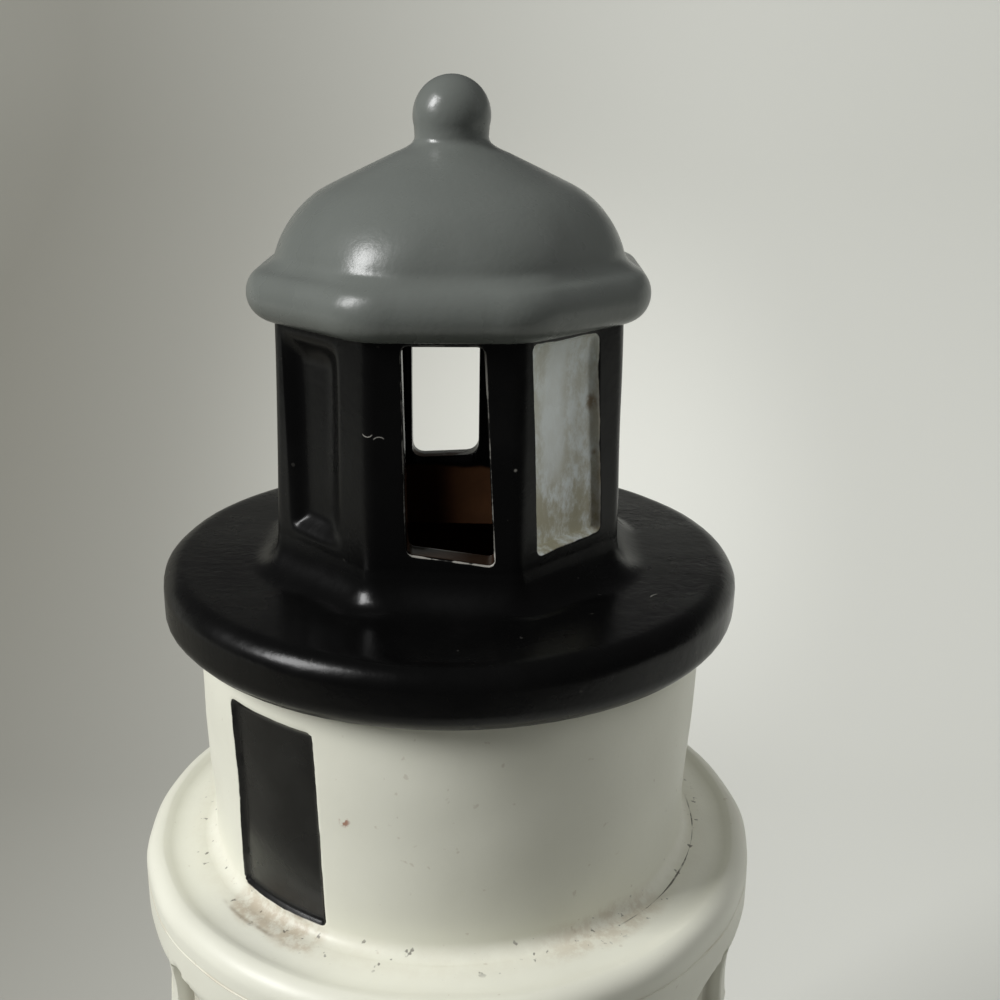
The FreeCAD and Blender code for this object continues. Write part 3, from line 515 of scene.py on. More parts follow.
def opening_warp(face, place, level):
    """Moved (u, z) of a face's line grid, and the distance outside its opening.

    The line at OPENING_HALF goes to the opening's edge and the rest of the flat takes up the
    difference. In a corner's quadrant a point at Chebyshev distance m from the corner's centre
    moves to distance m, so the square ring becomes a round one. Then the foot tilts and lifts and
    the whole opening moves and leans sideways, all fading out to the flat's ends.
    """
    sill, head = WINDOW_SILL_Z, WINDOW_HEAD_Z
    rise = np.clip((level - sill) / (head - sill), 0, 1)
    half = OPENING_WIDTHS[face] / 2 + OPENING_TAPERS[face] * (0.5 - rise)
    beyond = np.clip((np.abs(place) - OPENING_HALF) / (FACE_END - OPENING_HALF), 0, 1)
    u = np.sign(place) * np.where(np.abs(place) <= OPENING_HALF, np.abs(place) * half / OPENING_HALF,
                                  half + beyond * (FACE_END - half))
    z = level.copy()
    bends = ((OPENING_FOOT_ROUNDS[face], 1), (OPENING_TOP_ROUND + 0 * u, -1))
    for bend, up in bends:
        base = sill if up == 1 else head
        out_u = np.abs(u) - (half - bend)
        out_z = bend - up * (level - base)
        big = np.maximum(out_u, out_z)
        real = np.maximum(np.hypot(out_u, out_z), 1e-9)
        share = 1 - (1 - big / real) * (1 - soft_step(big, 1.2 * bend, 3 * bend))
        corner = (out_u > 0) & (out_z > 0)
        u = np.where(corner, np.sign(u) * (half - bend + out_u * share), u)
        z = np.where(corner, base + up * (bend - out_z * share), z)
    away = box_distance(u, z, half, sill, head, np.where(rise < 0.5, OPENING_FOOT_ROUNDS[face],
                                                         OPENING_TOP_ROUND))
    hold = np.clip((FACE_END - np.abs(place)) / (FACE_END - OPENING_HALF), 0, 1)
    near_sill = soft_step(level, sill - 3.5 * MM, sill) * (1 - soft_step(level, sill + 4 * MM, head))
    z = z + (OPENING_LIFTS[face] - OPENING_TILTS[face] * u / half) * near_sill * hold
    z = np.where(level > EAVE_Z - 0.1 * MM, level, z)
    return u + (OPENING_OFFSETS[face] - OPENING_LEANS[face] * rise) * hold, z, away


def octagon_point(face, u, share, half_flats, corner, level):
    """Point of a rounded octagon: u along a flat squeezed to its end, or a share of the corner arc."""
    reach = (half_flats - corner) * math.tan(math.pi / 8)
    kept = np.minimum(FLAT_KEPT, 0.97 * reach)
    over = (np.abs(u) - kept) / (FACE_END - kept)
    along = np.sign(u) * np.where(np.abs(u) <= kept, np.abs(u), kept + over * (reach - kept))
    turn = face * math.pi / 4
    corner_turn = turn + share * math.pi / 4
    base = half_flats - corner
    x = base * np.sin(turn) + along * np.cos(turn) + corner * np.sin(corner_turn)
    y = -base * np.cos(turn) + along * np.sin(turn) - corner * np.cos(corner_turn)
    return np.stack([x, y, level], -1)


def window_levels():
    """Levels from the windows' sill to their head, closer together near both."""
    near = np.array([0.2, 0.5, 0.9, 1.4, 2.1, 3.0, 4.2, 6.0]) * MM
    middle = np.linspace(WINDOW_SILL_Z + 6 * MM, WINDOW_HEAD_Z - 6 * MM, 18)[1:-1]
    return np.concatenate([[WINDOW_SILL_Z], WINDOW_SILL_Z + near, middle, (WINDOW_HEAD_Z - near)[::-1],
                           [WINDOW_HEAD_Z]])


def build_lantern():
    """Collar, gallery disc and eight-sided lantern as one closed profile loop over octagon columns.

    A row has a half width, a level and a share of circle: collar and disc are circles, the disc's
    top goes over to the octagon at the cove's foot, and the wall's inner side is the octagonal bore.
    """
    face, place, share = face_columns()
    window_z = window_levels()
    edge, inner_collar, throat_z = DISC_EDGE_ROUND, COLLAR_RADIUS - COLLAR_WALL, DISC_TOP_Z - CLAY_WALL
    cove_foot = (LANTERN_FOOT_HALF + FLARE_REACH, DISC_TOP_Z)
    cove_top = (LANTERN_FOOT_HALF, DISC_TOP_Z + FLARE_RISE)
    flat_end = (DISC_RADIUS - edge, DISC_TOP_Z)
    lower = joined(straight((inner_collar, COLLAR_FOOT_Z), (COLLAR_RADIUS, COLLAR_FOOT_Z),
                            (COLLAR_RADIUS, DISC_FOOT_Z), (DISC_RADIUS - edge, DISC_FOOT_Z)),
                   quarter_rows((DISC_RADIUS - edge, DISC_FOOT_Z), (DISC_RADIUS, DISC_FOOT_Z + edge), 12),
                   quarter_rows((DISC_RADIUS, DISC_TOP_Z - edge), flat_end, 12))
    ledge = straight(flat_end, cove_foot, step=1.3 * MM)[1:]
    cove = quarter_rows(cove_foot, cove_top, 14, -1)[1:]
    taper = (LANTERN_TOP_HALF - LANTERN_FOOT_HALF) / (EAVE_Z - DISC_TOP_Z)
    below = np.linspace(cove_top[1], WINDOW_SILL_Z, 6)[1:-1]
    outer_z = np.concatenate([below, window_z, [EAVE_Z]])
    wall = np.stack([LANTERN_FOOT_HALF + taper * (outer_z - DISC_TOP_Z), outer_z], -1)
    inner_z = np.concatenate([[EAVE_Z], window_z[::-1], np.linspace(WINDOW_SILL_Z, throat_z, 9)[1:]])
    bore = np.stack([np.full(len(inner_z), LANTERN_BORE_HALF), inner_z], -1)
    mouth = straight((LANTERN_BORE_HALF, throat_z), (inner_collar, DISC_FOOT_Z),
                     (inner_collar, COLLAR_FOOT_Z))[1:-1]
    parts = [lower, ledge, cove, wall, bore, mouth]
    starts = np.cumsum([0] + [len(part) for part in parts])
    rows = np.concatenate(parts)
    circle = np.zeros(len(rows))
    circle[:starts[1]] = 1
    circle[starts[1]:starts[2]] = soft_step(ledge[:, 0], cove_foot[0], flat_end[0])
    circle[starts[5]:] = soft_step(-mouth[:, 1], -throat_z, -DISC_FOOT_Z)
    corner = LANTERN_CORNER + CORNER_SPREAD * np.maximum(rows[:, 0] - LANTERN_FOOT_HALF, 0)
    corner = np.minimum(corner, CORNER_MOST * rows[:, 0])
    first = starts[3] + len(below)
    last = first + len(window_z) - 1
    inner_first = starts[4] + 1
    walls = slice(starts[3], starts[5])
    shape = (len(rows), len(face))
    outer = np.zeros(shape, bool)
    outer[:starts[4]] = True
    sides = np.broadcast_to(face, shape)
    level = np.broadcast_to(rows[:, 1:], shape)
    half_flats = np.broadcast_to(rows[:, :1], shape)
    u, z, away = np.broadcast_to(place, shape).copy(), level.copy(), np.full(shape, 9 * MM)
    u[walls], z[walls], away[walls] = opening_warp(sides[walls], u[walls], level[walls])
    grid = octagon_point(sides, u, np.broadcast_to(share, shape), half_flats, corner[:, None], z)
    polar = np.arctan2(grid[..., 0], -grid[..., 1])
    grid += (round_points(polar, half_flats, z) - grid) * circle[:, None, None]
    blind = outer & (sides % 2 == 1)
    turn = sides * math.pi / 4
    normal = np.stack([np.sin(turn), -np.cos(turn), 0 * turn], -1)
    sunk = PANEL_DEPTH * soft_step(-away, -PANEL_SPREAD[sides], PANEL_SOFTNESS[sides]) * blind
    sunk *= 1 - PANEL_FADE[sides] * soft_step(u, 0, 7.5 * MM)
    sunk *= 1 - PANEL_FADE[sides] * soft_step(level, WINDOW_HEAD_Z - 6 * MM, WINDOW_HEAD_Z)
    grid -= normal * sunk[..., None]
    grid = lantern_drift(grid, LANTERN_DENT * outer * (level > COLLAR_FOOT_Z + 8 * MM))
    quads = ring_quads(len(rows), len(face), True)
    across = (np.abs(place) < OPENING_HALF - 1e-7) | (np.abs(place + OPENING_HALF) < 1e-7)
    cell = np.zeros(shape, bool)
    cell[first:last] = True
    cell[inner_first:inner_first + len(window_z) - 1] = True
    faces = [quads[~(cell & (sides % 2 == 0) & across)]]
    raw = np.where(outer, 0.0, 1.0)
    raw[:starts[1]] = (lower[:, :1] < COLLAR_RADIUS + 4 * MM) * 1.0
    values = {"rim": [np.where(outer & (sides % 2 == 0), np.maximum(away, 0), 9 * MM).ravel()],
              "raw": [raw.ravel()],
              "pane": [np.where(outer & (sides % 4 == 1), -away, -9 * MM).ravel()]}
    points = [grid.reshape(-1, 3)]
    total, count = grid.shape[0] * len(face), len(face)
    lefts = np.flatnonzero(np.abs(place + OPENING_HALF) < 1e-7)
    rights = np.flatnonzero(np.abs(place - OPENING_HALF) < 1e-7)
    for side in range(0, 8, 2):
        left, right = lefts[side], rights[side]
        across_list, up_list = np.arange(left, right + 1), np.arange(first, last + 1)
        ring_row = np.concatenate([np.full(len(across_list), first), up_list[1:],
                                   np.full(len(across_list) - 1, last), up_list[-2:0:-1]])
        ring_col = np.concatenate([across_list, np.full(len(up_list) - 1, right),
                                   across_list[-2::-1], np.full(len(up_list) - 2, left)])
        mate = inner_first + (last - ring_row)
        out_u = (ring_col == right) * 1.0 - (ring_col == left) * 1.0
        out_z = (ring_row == last) * 1.0 - (ring_row == first) * 1.0
        tangent = np.array([math.cos(side * math.pi / 4), math.sin(side * math.pi / 4), 0])
        deep = np.array([-math.sin(side * math.pi / 4), math.cos(side * math.pi / 4), 0])
        wide = (out_u[:, None] * tangent + out_z[:, None] * np.array([0, 0, 1]))
        wide /= np.hypot(out_u, out_z)[:, None]
        near, far = grid[ring_row, ring_col].copy(), grid[mate, ring_col].copy()
        points[0][ring_row * count + ring_col] = near + wide * REVEAL_EDGE
        points[0][mate * count + ring_col] = far + wide * REVEAL_EDGE
        n = len(ring_row)
        rings = [ring_row * count + ring_col]
        depths = (REVEAL_EDGE, 3 * REVEAL_EDGE)
        for step, ring in enumerate([near + deep * depths[0], near + deep * depths[1],
                                     far - deep * depths[1], far - deep * depths[0]]):
            points.append(ring)
            rings.append(total + np.arange(n))
            values["rim"].append(np.full(n, depths[step] if step < 2 else 4 * MM))
            values["raw"].append(np.full(n, (0.15, 0.25, 0.75, 0.85)[step]))
            values["pane"].append(np.full(n, -9 * MM))
            total += n
        rings.append(mate * count + ring_col)
        for low, high in zip(rings[:-1], rings[1:]):
            faces.append(np.stack([low, np.roll(low, -1), np.roll(high, -1), high], -1))
    values = {key: np.concatenate(value) for key, value in values.items()}
    mesh_piece("lantern_casting", np.concatenate(points), faces, "lantern_top",
               ["lantern_room"], FINISH["lantern"], values)


def lantern_drift(grid, dent):
    """Unevenness of depth dent, then the lantern's small step aside and its eave's tilt."""
    x, y, z = grid[..., 0], grid[..., 1], grid[..., 2]
    size = np.maximum(np.hypot(x, y), 1e-6)
    shrink = 1 - dent * (0.5 + 0.5 * np.clip(waviness(x, y, z, DENT_SIZE, DENT_SEED), -1, 1)) / size
    aside = LANTERN_ASIDE * soft_step(z, DISC_TOP_Z, DISC_TOP_Z + FLARE_RISE)
    tilt = EAVE_TILT * x * soft_step(z, WINDOW_SILL_Z + 10 * MM, EAVE_Z)
    high = np.minimum(z + tilt, ROOF_HIGH.z)
    return np.stack([x * shrink + aside, y * shrink, high], -1)


def build_roof():
    """Roof casting: each row a rounded octagon whose corner radius grows to a circle up the dome.

    The rows go from the hollow's crown down its side, out along the flat underside, round the
    half-round nose, up the bowed side and the sloping crown, in the neck's hollow flare and over
    the ball. A running average softens the bends between the shoulder and the neck.
    """
    lip = EAVE_HALF - EAVE_LIP
    side = (DOME_SIDE, SHOULDER_Z)
    bend = (DOME_BEND, SHOULDER_Z + DOME_BEND_RISE)
    crown = (DOME_TOP, SHOULDER_Z + DOME_RISE)
    neck = (NECK_RADIUS, crown[1] + NECK_RISE)
    inset = ROOF_WALL * math.sqrt(0.5)
    inner_bend, inner_side = (bend[0] - inset, bend[1] - inset), (DOME_SIDE - ROOF_WALL, SHOULDER_Z)
    hollow = joined(straight((ROOF_HOLLOW_TOP, crown[1] - ROOF_WALL), inner_bend),
                    bow_rows(inner_bend, inner_side, -DOME_BOW, 12),
                    straight(inner_side, (LANTERN_BORE_HALF, EAVE_Z)))
    under = straight((LANTERN_BORE_HALF, EAVE_Z), (lip, EAVE_Z), step=1.2 * MM)[1:]
    swing = np.linspace(-math.pi / 2, math.radians(62), 25)[1:]
    nose = np.stack([lip + EAVE_LIP * np.cos(swing), EAVE_Z + EAVE_HEIGHT / 2 * (1 + np.sin(swing))], -1)
    ball_foot = -math.degrees(math.acos(NECK_RADIUS / BALL_RADIUS))
    dome = joined(bow_rows(side, bend, DOME_BOW, 24), straight(bend, crown, step=1.2 * MM),
                  bow_rows(crown, neck, -NECK_BOW, 10))
    skin = softened(np.concatenate([nose, dome]), SOFTENED_OVER,
                    lambda z: soft_step(z, SHOULDER_Z - 1.6 * MM, SHOULDER_Z)
                    * (1 - soft_step(z, crown[1] - 0.6 * MM, neck[1])))
    ball = arc_rows((0, ROOF_HIGH.z - BALL_RADIUS), BALL_RADIUS, ball_foot, 88.5, 34)[1:]
    rows = np.concatenate([hollow, under, skin, ball])
    upper = np.concatenate([skin, ball])
    roundness = DOME_ROUNDNESS + (1 - DOME_ROUNDNESS) * soft_step(
        upper[:, 1], SHOULDER_Z + 1 * MM, SHOULDER_Z + 15 * MM)
    on_dome = soft_step(upper[:, 1], SHOULDER_Z - 1.5 * MM, SHOULDER_Z + 1.5 * MM)
    eave_corner = EAVE_CORNER - (EAVE_HALF - upper[:, 0])
    corner = np.concatenate([hollow[:, 0],
                             np.linspace(LANTERN_BORE_HALF, EAVE_CORNER - EAVE_LIP, len(under)),
                             eave_corner + (upper[:, 0] * roundness - eave_corner) * on_dome])
    angle, radius, level = round_grid(rows, ROOF_COLUMNS)
    radius = octagon_radius(angle, radius, corner[:, None])
    grid = lantern_drift(round_points(angle, radius, level), LANTERN_DENT * soft_step(radius, 0, 20 * MM))
    apexes = lantern_drift(np.array([[0, 0, crown[1] - ROOF_WALL], [0, 0, ROOF_HIGH.z]]), 0)
    points = np.concatenate([apexes[:1], grid.reshape(-1, 3), apexes[1:]])
    raw = np.zeros(grid.shape[:2])
    raw[:len(hollow) + 2] = 1
    mesh_piece("roof_casting", points, capped_faces(len(rows), ROOF_COLUMNS), "lantern_top",
               ["roof_dome"], FINISH["roof"], {"raw": np.concatenate([[1], raw.ravel(), [0]])})


# ---------------------------------------------------------------- material helpers
class Nodes:
    """Short calls for building one material's node tree on Object coordinates."""

    def __init__(self, name):
        self.material = bpy.data.materials.new(name)
        self.material.use_nodes = True
        self.tree = self.material.node_tree
        self.shader = self.tree.nodes["Principled BSDF"]
        self.place = self.add("ShaderNodeTexCoord").outputs["Object"]

    def feed(self, socket, value):
        """Link a socket to a socket, or set its value."""
        if isinstance(value, bpy.types.NodeSocket):
            self.tree.links.new(value, socket)
        else:
            socket.default_value = value

    def add(self, kind, inputs=None, **settings):
        """New node with its settings, its inputs fed by name or number."""
        node = self.tree.nodes.new(kind)
        for key, value in settings.items():
            setattr(node, key, value)
        for key, value in (inputs or {}).items():
            self.feed(node.inputs[key], value)
        return node

    def noise(self, scale, detail=4.0, rough=0.55, place=None):
        """Fractal noise of 0 to 1, mostly near 0.5."""
        return self.add("ShaderNodeTexNoise", {"Scale": scale, "Detail": detail, "Roughness": rough,
                                               "Vector": place or self.place}).outputs["Fac"]

    def math(self, operation, a, b=0.0):
        """One Math node."""
        return self.add("ShaderNodeMath", {0: a, 1: b}, operation=operation).outputs[0]

    def plus(self, a, b):
        """Sum of two values."""
        return self.math("ADD", a, b)

    def times(self, *values):
        """Product of the values."""
        return functools.reduce(lambda a, b: self.math("MULTIPLY", a, b), values)

    def most(self, *values):
        """Largest of the values."""
        return functools.reduce(lambda a, b: self.math("MAXIMUM", a, b), values)

    def ramp(self, value, low, high, first=0.0, last=1.0):
        """A value eased from low..high to first..last, clamped."""
        return self.add("ShaderNodeMapRange", {"Value": value, "From Min": low, "From Max": high,
                                               "To Min": first, "To Max": last},
                        interpolation_type="SMOOTHSTEP").outputs["Result"]

    def patches(self, scale, detail, low, high, first=0.0, last=1.0, rough=0.55):
        """Noise eased from low..high to first..last."""
        return self.ramp(self.noise(scale, detail, rough), low, high, first, last)

    def wander(self, size, scale, detail, rough=0.55):
        """Noise round 0, in all about as wide as size."""
        return self.times(self.math("SUBTRACT", self.noise(scale, detail, rough), 0.5), size)

    def mix(self, share, first, second):
        """First colour going over to the second as share goes from 0 to 1."""
        return self.add("ShaderNodeMix", {"Factor": share, "A": first, "B": second},
                        data_type="RGBA").outputs["Result"]

    def over(self, color, tone, *shares):
        """Colour with a tone laid over it by the product of the shares."""
        return self.mix(self.times(*shares), color, tone)

    def attribute(self, name):
        """A piece's own per-point value."""
        return self.add("ShaderNodeAttribute", attribute_name=name).outputs["Fac"]

    def axis(self):
        """The shaded point's x, y and z."""
        return self.add("ShaderNodeSeparateXYZ", {0: self.place}).outputs

    def stretched(self, upright):
        """Place with its levels scaled, so a noise on it is drawn out upwards."""
        return self.add("ShaderNodeMapping", {"Vector": self.place, "Scale": (1, 1, upright)},
                        vector_type="POINT").outputs["Vector"]

    def distance(self, centre):
        """Distance of the shaded point from a point."""
        return self.add("ShaderNodeVectorMath", {0: self.place, 1: centre},
                        operation="DISTANCE").outputs["Value"]

    def spot(self, centre, radius, soft=0.5):
        """1 inside a ball round a point, easing to 0 over the outer share soft."""
        return self.ramp(self.distance(centre), radius * (1 - soft), radius, 1.0, 0.0)

    def bumps(self, *layers):
        """Normal from layers of (noise scale, detail, strength, distance), each bump on the last."""
        normal = {}
        for scale, detail, strength, distance in layers:
            height = {"Height": self.noise(scale, detail), "Strength": strength, "Distance": distance}
            normal = {"Normal": self.add("ShaderNodeBump", {**height, **normal}).outputs["Normal"]}
        return normal["Normal"]

    def finish(self, color, roughness, normal=None, **constants):
        """The material, with links or values on its shader; constants name sockets of the shader."""
        self.feed(self.shader.inputs["Base Color"], color)
        self.feed(self.shader.inputs["Roughness"], roughness)
        if normal is not None:
            self.feed(self.shader.inputs["Normal"], normal)
        for key, value in constants.items():
            self.shader.inputs[key.replace("_", " ")].default_value = value
        return self.material


def from_axis(n):
    """Distance of the shaded point from the axis, and its level."""
    x, y, z = n.axis()
    return n.math("SQRT", n.plus(n.times(x, x), n.times(y, y))), z


def around_axis(n):
    """Angle of the shaded point round the axis, in degrees from -Y towards +X."""
    x, y, _ = n.axis()
    return n.times(n.math("ARCTAN2", x, n.times(y, -1.0)), 180 / math.pi)


def between(n, value, low, high, ease):
    """1 from low to high, easing to 0 outside."""
    return n.times(n.ramp(value, low - ease, low + ease), n.ramp(value, high - ease, high + ease, 1.0, 0.0))


def scratch(n, stroke, half_width, part_radius):
    """1 on a thin arc: the part of a ring round a point that lies near a second point."""
    centre, ring, part = stroke
    off = n.math("ABSOLUTE", n.math("SUBTRACT", n.distance(centre), ring))
    return n.times(n.ramp(off, half_width * 0.4, half_width, 1.0, 0.0), n.spot(part, part_radius, 0.3))


# ---------------------------------------------------------------- colours and marks
def rgba(red, green, blue):
    """Opaque colour."""
    return (red, green, blue, 1.0)


def in_mm(*points):
    """Points given in millimetres, as metres."""
    return [tuple(value * MM for value in point) for point in points]


CREAM, CREAM_DARK, CREAM_SPECK = rgba(0.812, 0.812, 0.70), rgba(0.745, 0.742, 0.635), rgba(0.45, 0.38, 0.28)
DIRT, TAN, CREVICE = rgba(0.20, 0.145, 0.085), rgba(0.44, 0.34, 0.22), rgba(0.045, 0.037, 0.028)
# the first of these tones is painted shade in the cornice's arched hollows
# the second is a dark band under the disc: rub marks with painted shade of the disc's overhang
HOLLOW_SHADE, UNDER_DISC_RUB_AND_SHADE, RED_CHIP = rgba(0.24, 0.21, 0.15), rgba(0.12, 0.10, 0.075), rgba(0.30, 0.09, 0.04)
BLACK, BLACK_WORN = rgba(0.0022, 0.0022, 0.0022), rgba(0.012, 0.012, 0.0115)
BLACK_BITS = rgba(0.15, 0.145, 0.13)
DOOR_BLACK, DOOR_BLACK_WORN = rgba(0.005, 0.005, 0.0048), rgba(0.010, 0.010, 0.0095)
GREY, GREY_DARK, PALE_CHIP = rgba(0.152, 0.164, 0.151), rgba(0.130, 0.141, 0.129), rgba(0.62, 0.60, 0.54)
CLAY = (rgba(0.20, 0.075, 0.032), rgba(0.12, 0.045, 0.02))
# a darker copy of the clay: painted shade for the lantern's inside
SHADED_CLAY = (rgba(0.12, 0.050, 0.018), rgba(0.075, 0.031, 0.012))
# near-black clay: painted shade on the front window's sill
SILL_SHADE = rgba(0.022, 0.012, 0.007)
PANE, PANE_DIRT, PANE_BROWN = rgba(0.86, 0.91, 0.88), rgba(0.49, 0.46, 0.32), rgba(0.24, 0.16, 0.08)
# the backdrop's darker tone is painted shade, the paler one its own colour
PAPER_SHADE, PAPER_PALE = rgba(0.235, 0.228, 0.195), rgba(0.62, 0.625, 0.58)

CREAM_GLOSS, LANTERN_GLOSS, ROOF_GLOSS, PAPER_GLOSS = 0.34, 0.22, 0.36, 0.1

# tan dirt at the watch room's foot, in degrees round the axis: from, to, ease and strength
FOOT_DIRT = ((-50, -26, 3, 0.62), (22, 52, 8, 0.42), (112, 176, 15, 0.4))
FOOT_DIRT_ELSEWHERE = 0.08
DIRTY_LINE, CRACKED_LINE = (-50, -30, 3), (42, 92, 5)

# a scratch: the centre of its ring, the ring's radius and the middle of the part that shows
LANTERN_SCRATCHES = [(centre, ring * MM, part) for ring, (centre, part) in (
    (1.4, in_mm((-15.3, -36.2, 354.4), (-15.3, -36.3, 353.1))),
    (1.5, in_mm((-12.9, -36.6, 351.6), (-13.0, -36.7, 353.1))),
    (2.0, in_mm((44.8, -28.8, 316.8), (43.3, -27.4, 316.8))),
    (3.2, in_mm((30.0, -61.5, 316.8), (30.6, -58.3, 316.8))))]
ROOF_SCRATCHES = [(centre, ring * MM, part) for ring, (centre, part) in (
    (1.5, in_mm((18.9, -31.2, 384.9), (17.7, -31.0, 384.2))),
    (2.0, in_mm((28.2, -23.4, 384.2), (26.8, -23.4, 383.3))))]
LANTERN_NICK, PANE_STAIN, PANE_STAIN_LOW = in_mm(
    (13.8, -36.9, 346.8), (29.1, -18.9, 356.6), (30.6, -18.9, 345.7))
DECK_DOT, DECK_NICK = (57.6 * MM, -8.1 * MM, DECK_Z), (-61.2 * MM, -27.3 * MM, DECK_Z)
DRUM_CHIP_ANGLE = math.radians(-19.8)
DRUM_CHIP = (57.3 * MM * math.sin(DRUM_CHIP_ANGLE), -57.3 * MM * math.cos(DRUM_CHIP_ANGLE), 277.7 * MM)

# clay starts here where castings meet and paint never reached
PLINTH_PAINT_REACH = 77.0 * MM
DECK_PAINT_REACH = 54.4 * MM
UNDER_DECK_REACH = 60.25 * MM
UNDER_DECK_DOWN = 1.25 * MM


# ---------------------------------------------------------------- finishes
def clay(n, tones=CLAY):
    """Raw red-brown clay in two tones."""
    return n.mix(n.patches(50.0, 5.0, 0.3, 0.7), *tones)


def cream_paint(n):
    """Brushed warm-white paint: faint tone patches and sparse brown specks."""
    color = n.mix(n.patches(18.0, 5.0, 0.3, 0.75), CREAM, CREAM_DARK)
    return n.over(color, CREAM_SPECK, n.patches(380.0, 2.0, 0.70, 0.76), 0.3)


def cream_finish(n, color, roughness=None):
    """Close a cream material: brush unevenness and stipple as bump, satin roughness."""
    roughness = roughness or n.patches(60.0, 3.0, 0.3, 0.7, 0.37, 0.46)
    normal = n.bumps((55.0, 4.0, 0.35, 0.45 * MM), (700.0, 2.0, 0.18, 0.1 * MM))
    return n.finish(color, roughness, normal, Specular_IOR_Level=CREAM_GLOSS)


def dirt_and_shade_band(n, value, low, high, strength, scale=70.0):
    """Share of a dark band of dirt, which under the disc also carries painted shade: full where value is at
    low, gone at high, broken up by noise.
    """
    broken = n.patches(scale, 5.0, 0.35, 0.62, rough=0.65)
    return n.times(n.ramp(value, low, high, 1.0, 0.0), broken, strength)


def foot_dirt(n, color, off_corner, crevice):
    """Tan dirt and a thin dark crevice where the watch room stands on the deck.

    off_corner is the distance from the corner line, along the deck or up the drum; crevice is the
    dark line's strength.
    """
    turn = around_axis(n)
    off = n.plus(off_corner, n.wander(5 * MM, 120.0, 5.0, 0.7))
    zones = n.most(*(n.times(between(n, turn, *zone), strength) for *zone, strength in FOOT_DIRT),
                   FOOT_DIRT_ELSEWHERE)
    color = n.over(color, TAN, n.ramp(off, 0.6 * MM, 4.6 * MM, 1.0, 0.0),
                   n.patches(320.0, 4.0, 0.35, 0.6, 0.25, 1.0, rough=0.7), zones)
    line = n.plus(off_corner, n.wander(1.5 * MM, 60.0, 3.0))
    color = n.over(color, DIRT, between(n, line, 2.0 * MM, 2.7 * MM, 0.5 * MM), between(n, turn, *DIRTY_LINE),
                   n.patches(110.0, 4.0, 0.40, 0.55), 0.6)
    color = n.over(color, CREVICE, n.patches(480.0, 2.0, 0.66, 0.72),
                   n.ramp(off_corner, 1 * MM, 4 * MM, 1.0, 0.0), 0.7)
    crack = n.plus(off_corner, n.wander(0.8 * MM, 90.0, 4.0))
    return n.over(color, CREVICE, between(n, crack, -0.3 * MM, 0.12 * MM, 0.1 * MM),
                  between(n, turn, *CRACKED_LINE), n.patches(150.0, 3.0, 0.38, 0.5), crevice)


def black_areas(n, color):
    """Colour and roughness with black paint: black where the attribute painted is under about 0.2 mm.

    painted is the distance outside a door or window; where it is near 1 the surface is raw clay.
    """
    painted = n.attribute("painted")
    black = n.ramp(n.plus(painted, n.times(n.noise(170.0, 2.0), 0.6 * MM)), 0.25 * MM, 0.45 * MM, 1.0, 0.0)
    tone = n.mix(n.patches(90.0, 3.0, 0.35, 0.7), DOOR_BLACK, DOOR_BLACK_WORN)
    color = n.mix(black, n.over(color, clay(n), n.ramp(painted, 0.85, 0.98)), tone)
    return color, n.math("SUBTRACT", n.patches(60.0, 3.0, 0.3, 0.7, 0.38, 0.48), n.times(black, 0.17))


def plinth_coat():
    """Cream paint, dirtier just over the ground."""
    n = Nodes("plinth_coat")
    reach, level = from_axis(n)
    color = n.over(cream_paint(n), DIRT, dirt_and_shade_band(n, level, 1 * MM, 9 * MM, 0.6))
    unpainted = n.ramp(reach, PLINTH_PAINT_REACH - 0.5 * MM, PLINTH_PAINT_REACH + 0.5 * MM, 1.0, 0.0)
    return cream_finish(n, n.over(color, clay(n), unpainted))


def tower_coat():
    """Cream paint with black door and windows, and dirt over the plinth."""
    n = Nodes("tower_coat")
    level = from_axis(n)[1]
    color = n.over(cream_paint(n), DIRT, dirt_and_shade_band(n, level, TOWER_FOOT_Z, TOWER_FOOT_Z + 9 * MM, 0.55))
    return cream_finish(n, *black_areas(n, color))


def cornice_coat():
    """Cream paint; dirt gathers round the drum's foot and in the groove, and painted shade darkens the arched
    hollows, most under the fascia.
    """
    n = Nodes("cornice_coat")
    reach, level = from_axis(n)
    color = foot_dirt(n, cream_paint(n), n.math("SUBTRACT", reach, DRUM_FOOT_RADIUS + DRUM_FILLET), 0.85)
    # painted shade in the arched hollows, deepest near their crowns under the fascia
    color = n.over(color, HOLLOW_SHADE, n.ramp(n.attribute("hollow"), 0.3, 0.9),
                   n.ramp(level, CORNICE_FOOT_Z, DECK_Z - FASCIA_HEIGHT, 0.25, 0.7))
    groove = DECK_Z - GROOVE_DOWN
    color = n.over(color, TAN, between(n, level, groove - 0.4 * MM, groove + 0.4 * MM, 0.4 * MM),
                   n.patches(80.0, 4.0, 0.4, 0.6, 0.05, 0.4))
    marks = n.most(n.spot(DECK_DOT, 0.55 * MM, 0.4), n.spot(DECK_NICK, 0.6 * MM, 0.6))
    color = n.over(color, CREVICE, marks, 0.8)
    within_drum = n.ramp(reach, DECK_PAINT_REACH - 0.4 * MM, DECK_PAINT_REACH + 0.4 * MM, 1.0, 0.0)
    inside = n.ramp(reach, UNDER_DECK_REACH - 0.25 * MM, UNDER_DECK_REACH + 0.25 * MM, 1.0, 0.0)
    below = DECK_Z - UNDER_DECK_DOWN
    below_deck = n.times(inside, n.ramp(level, below - 0.25 * MM, below + 0.25 * MM, 1.0, 0.0))
    return cream_finish(n, n.over(color, clay(n), n.most(within_drum, below_deck)))


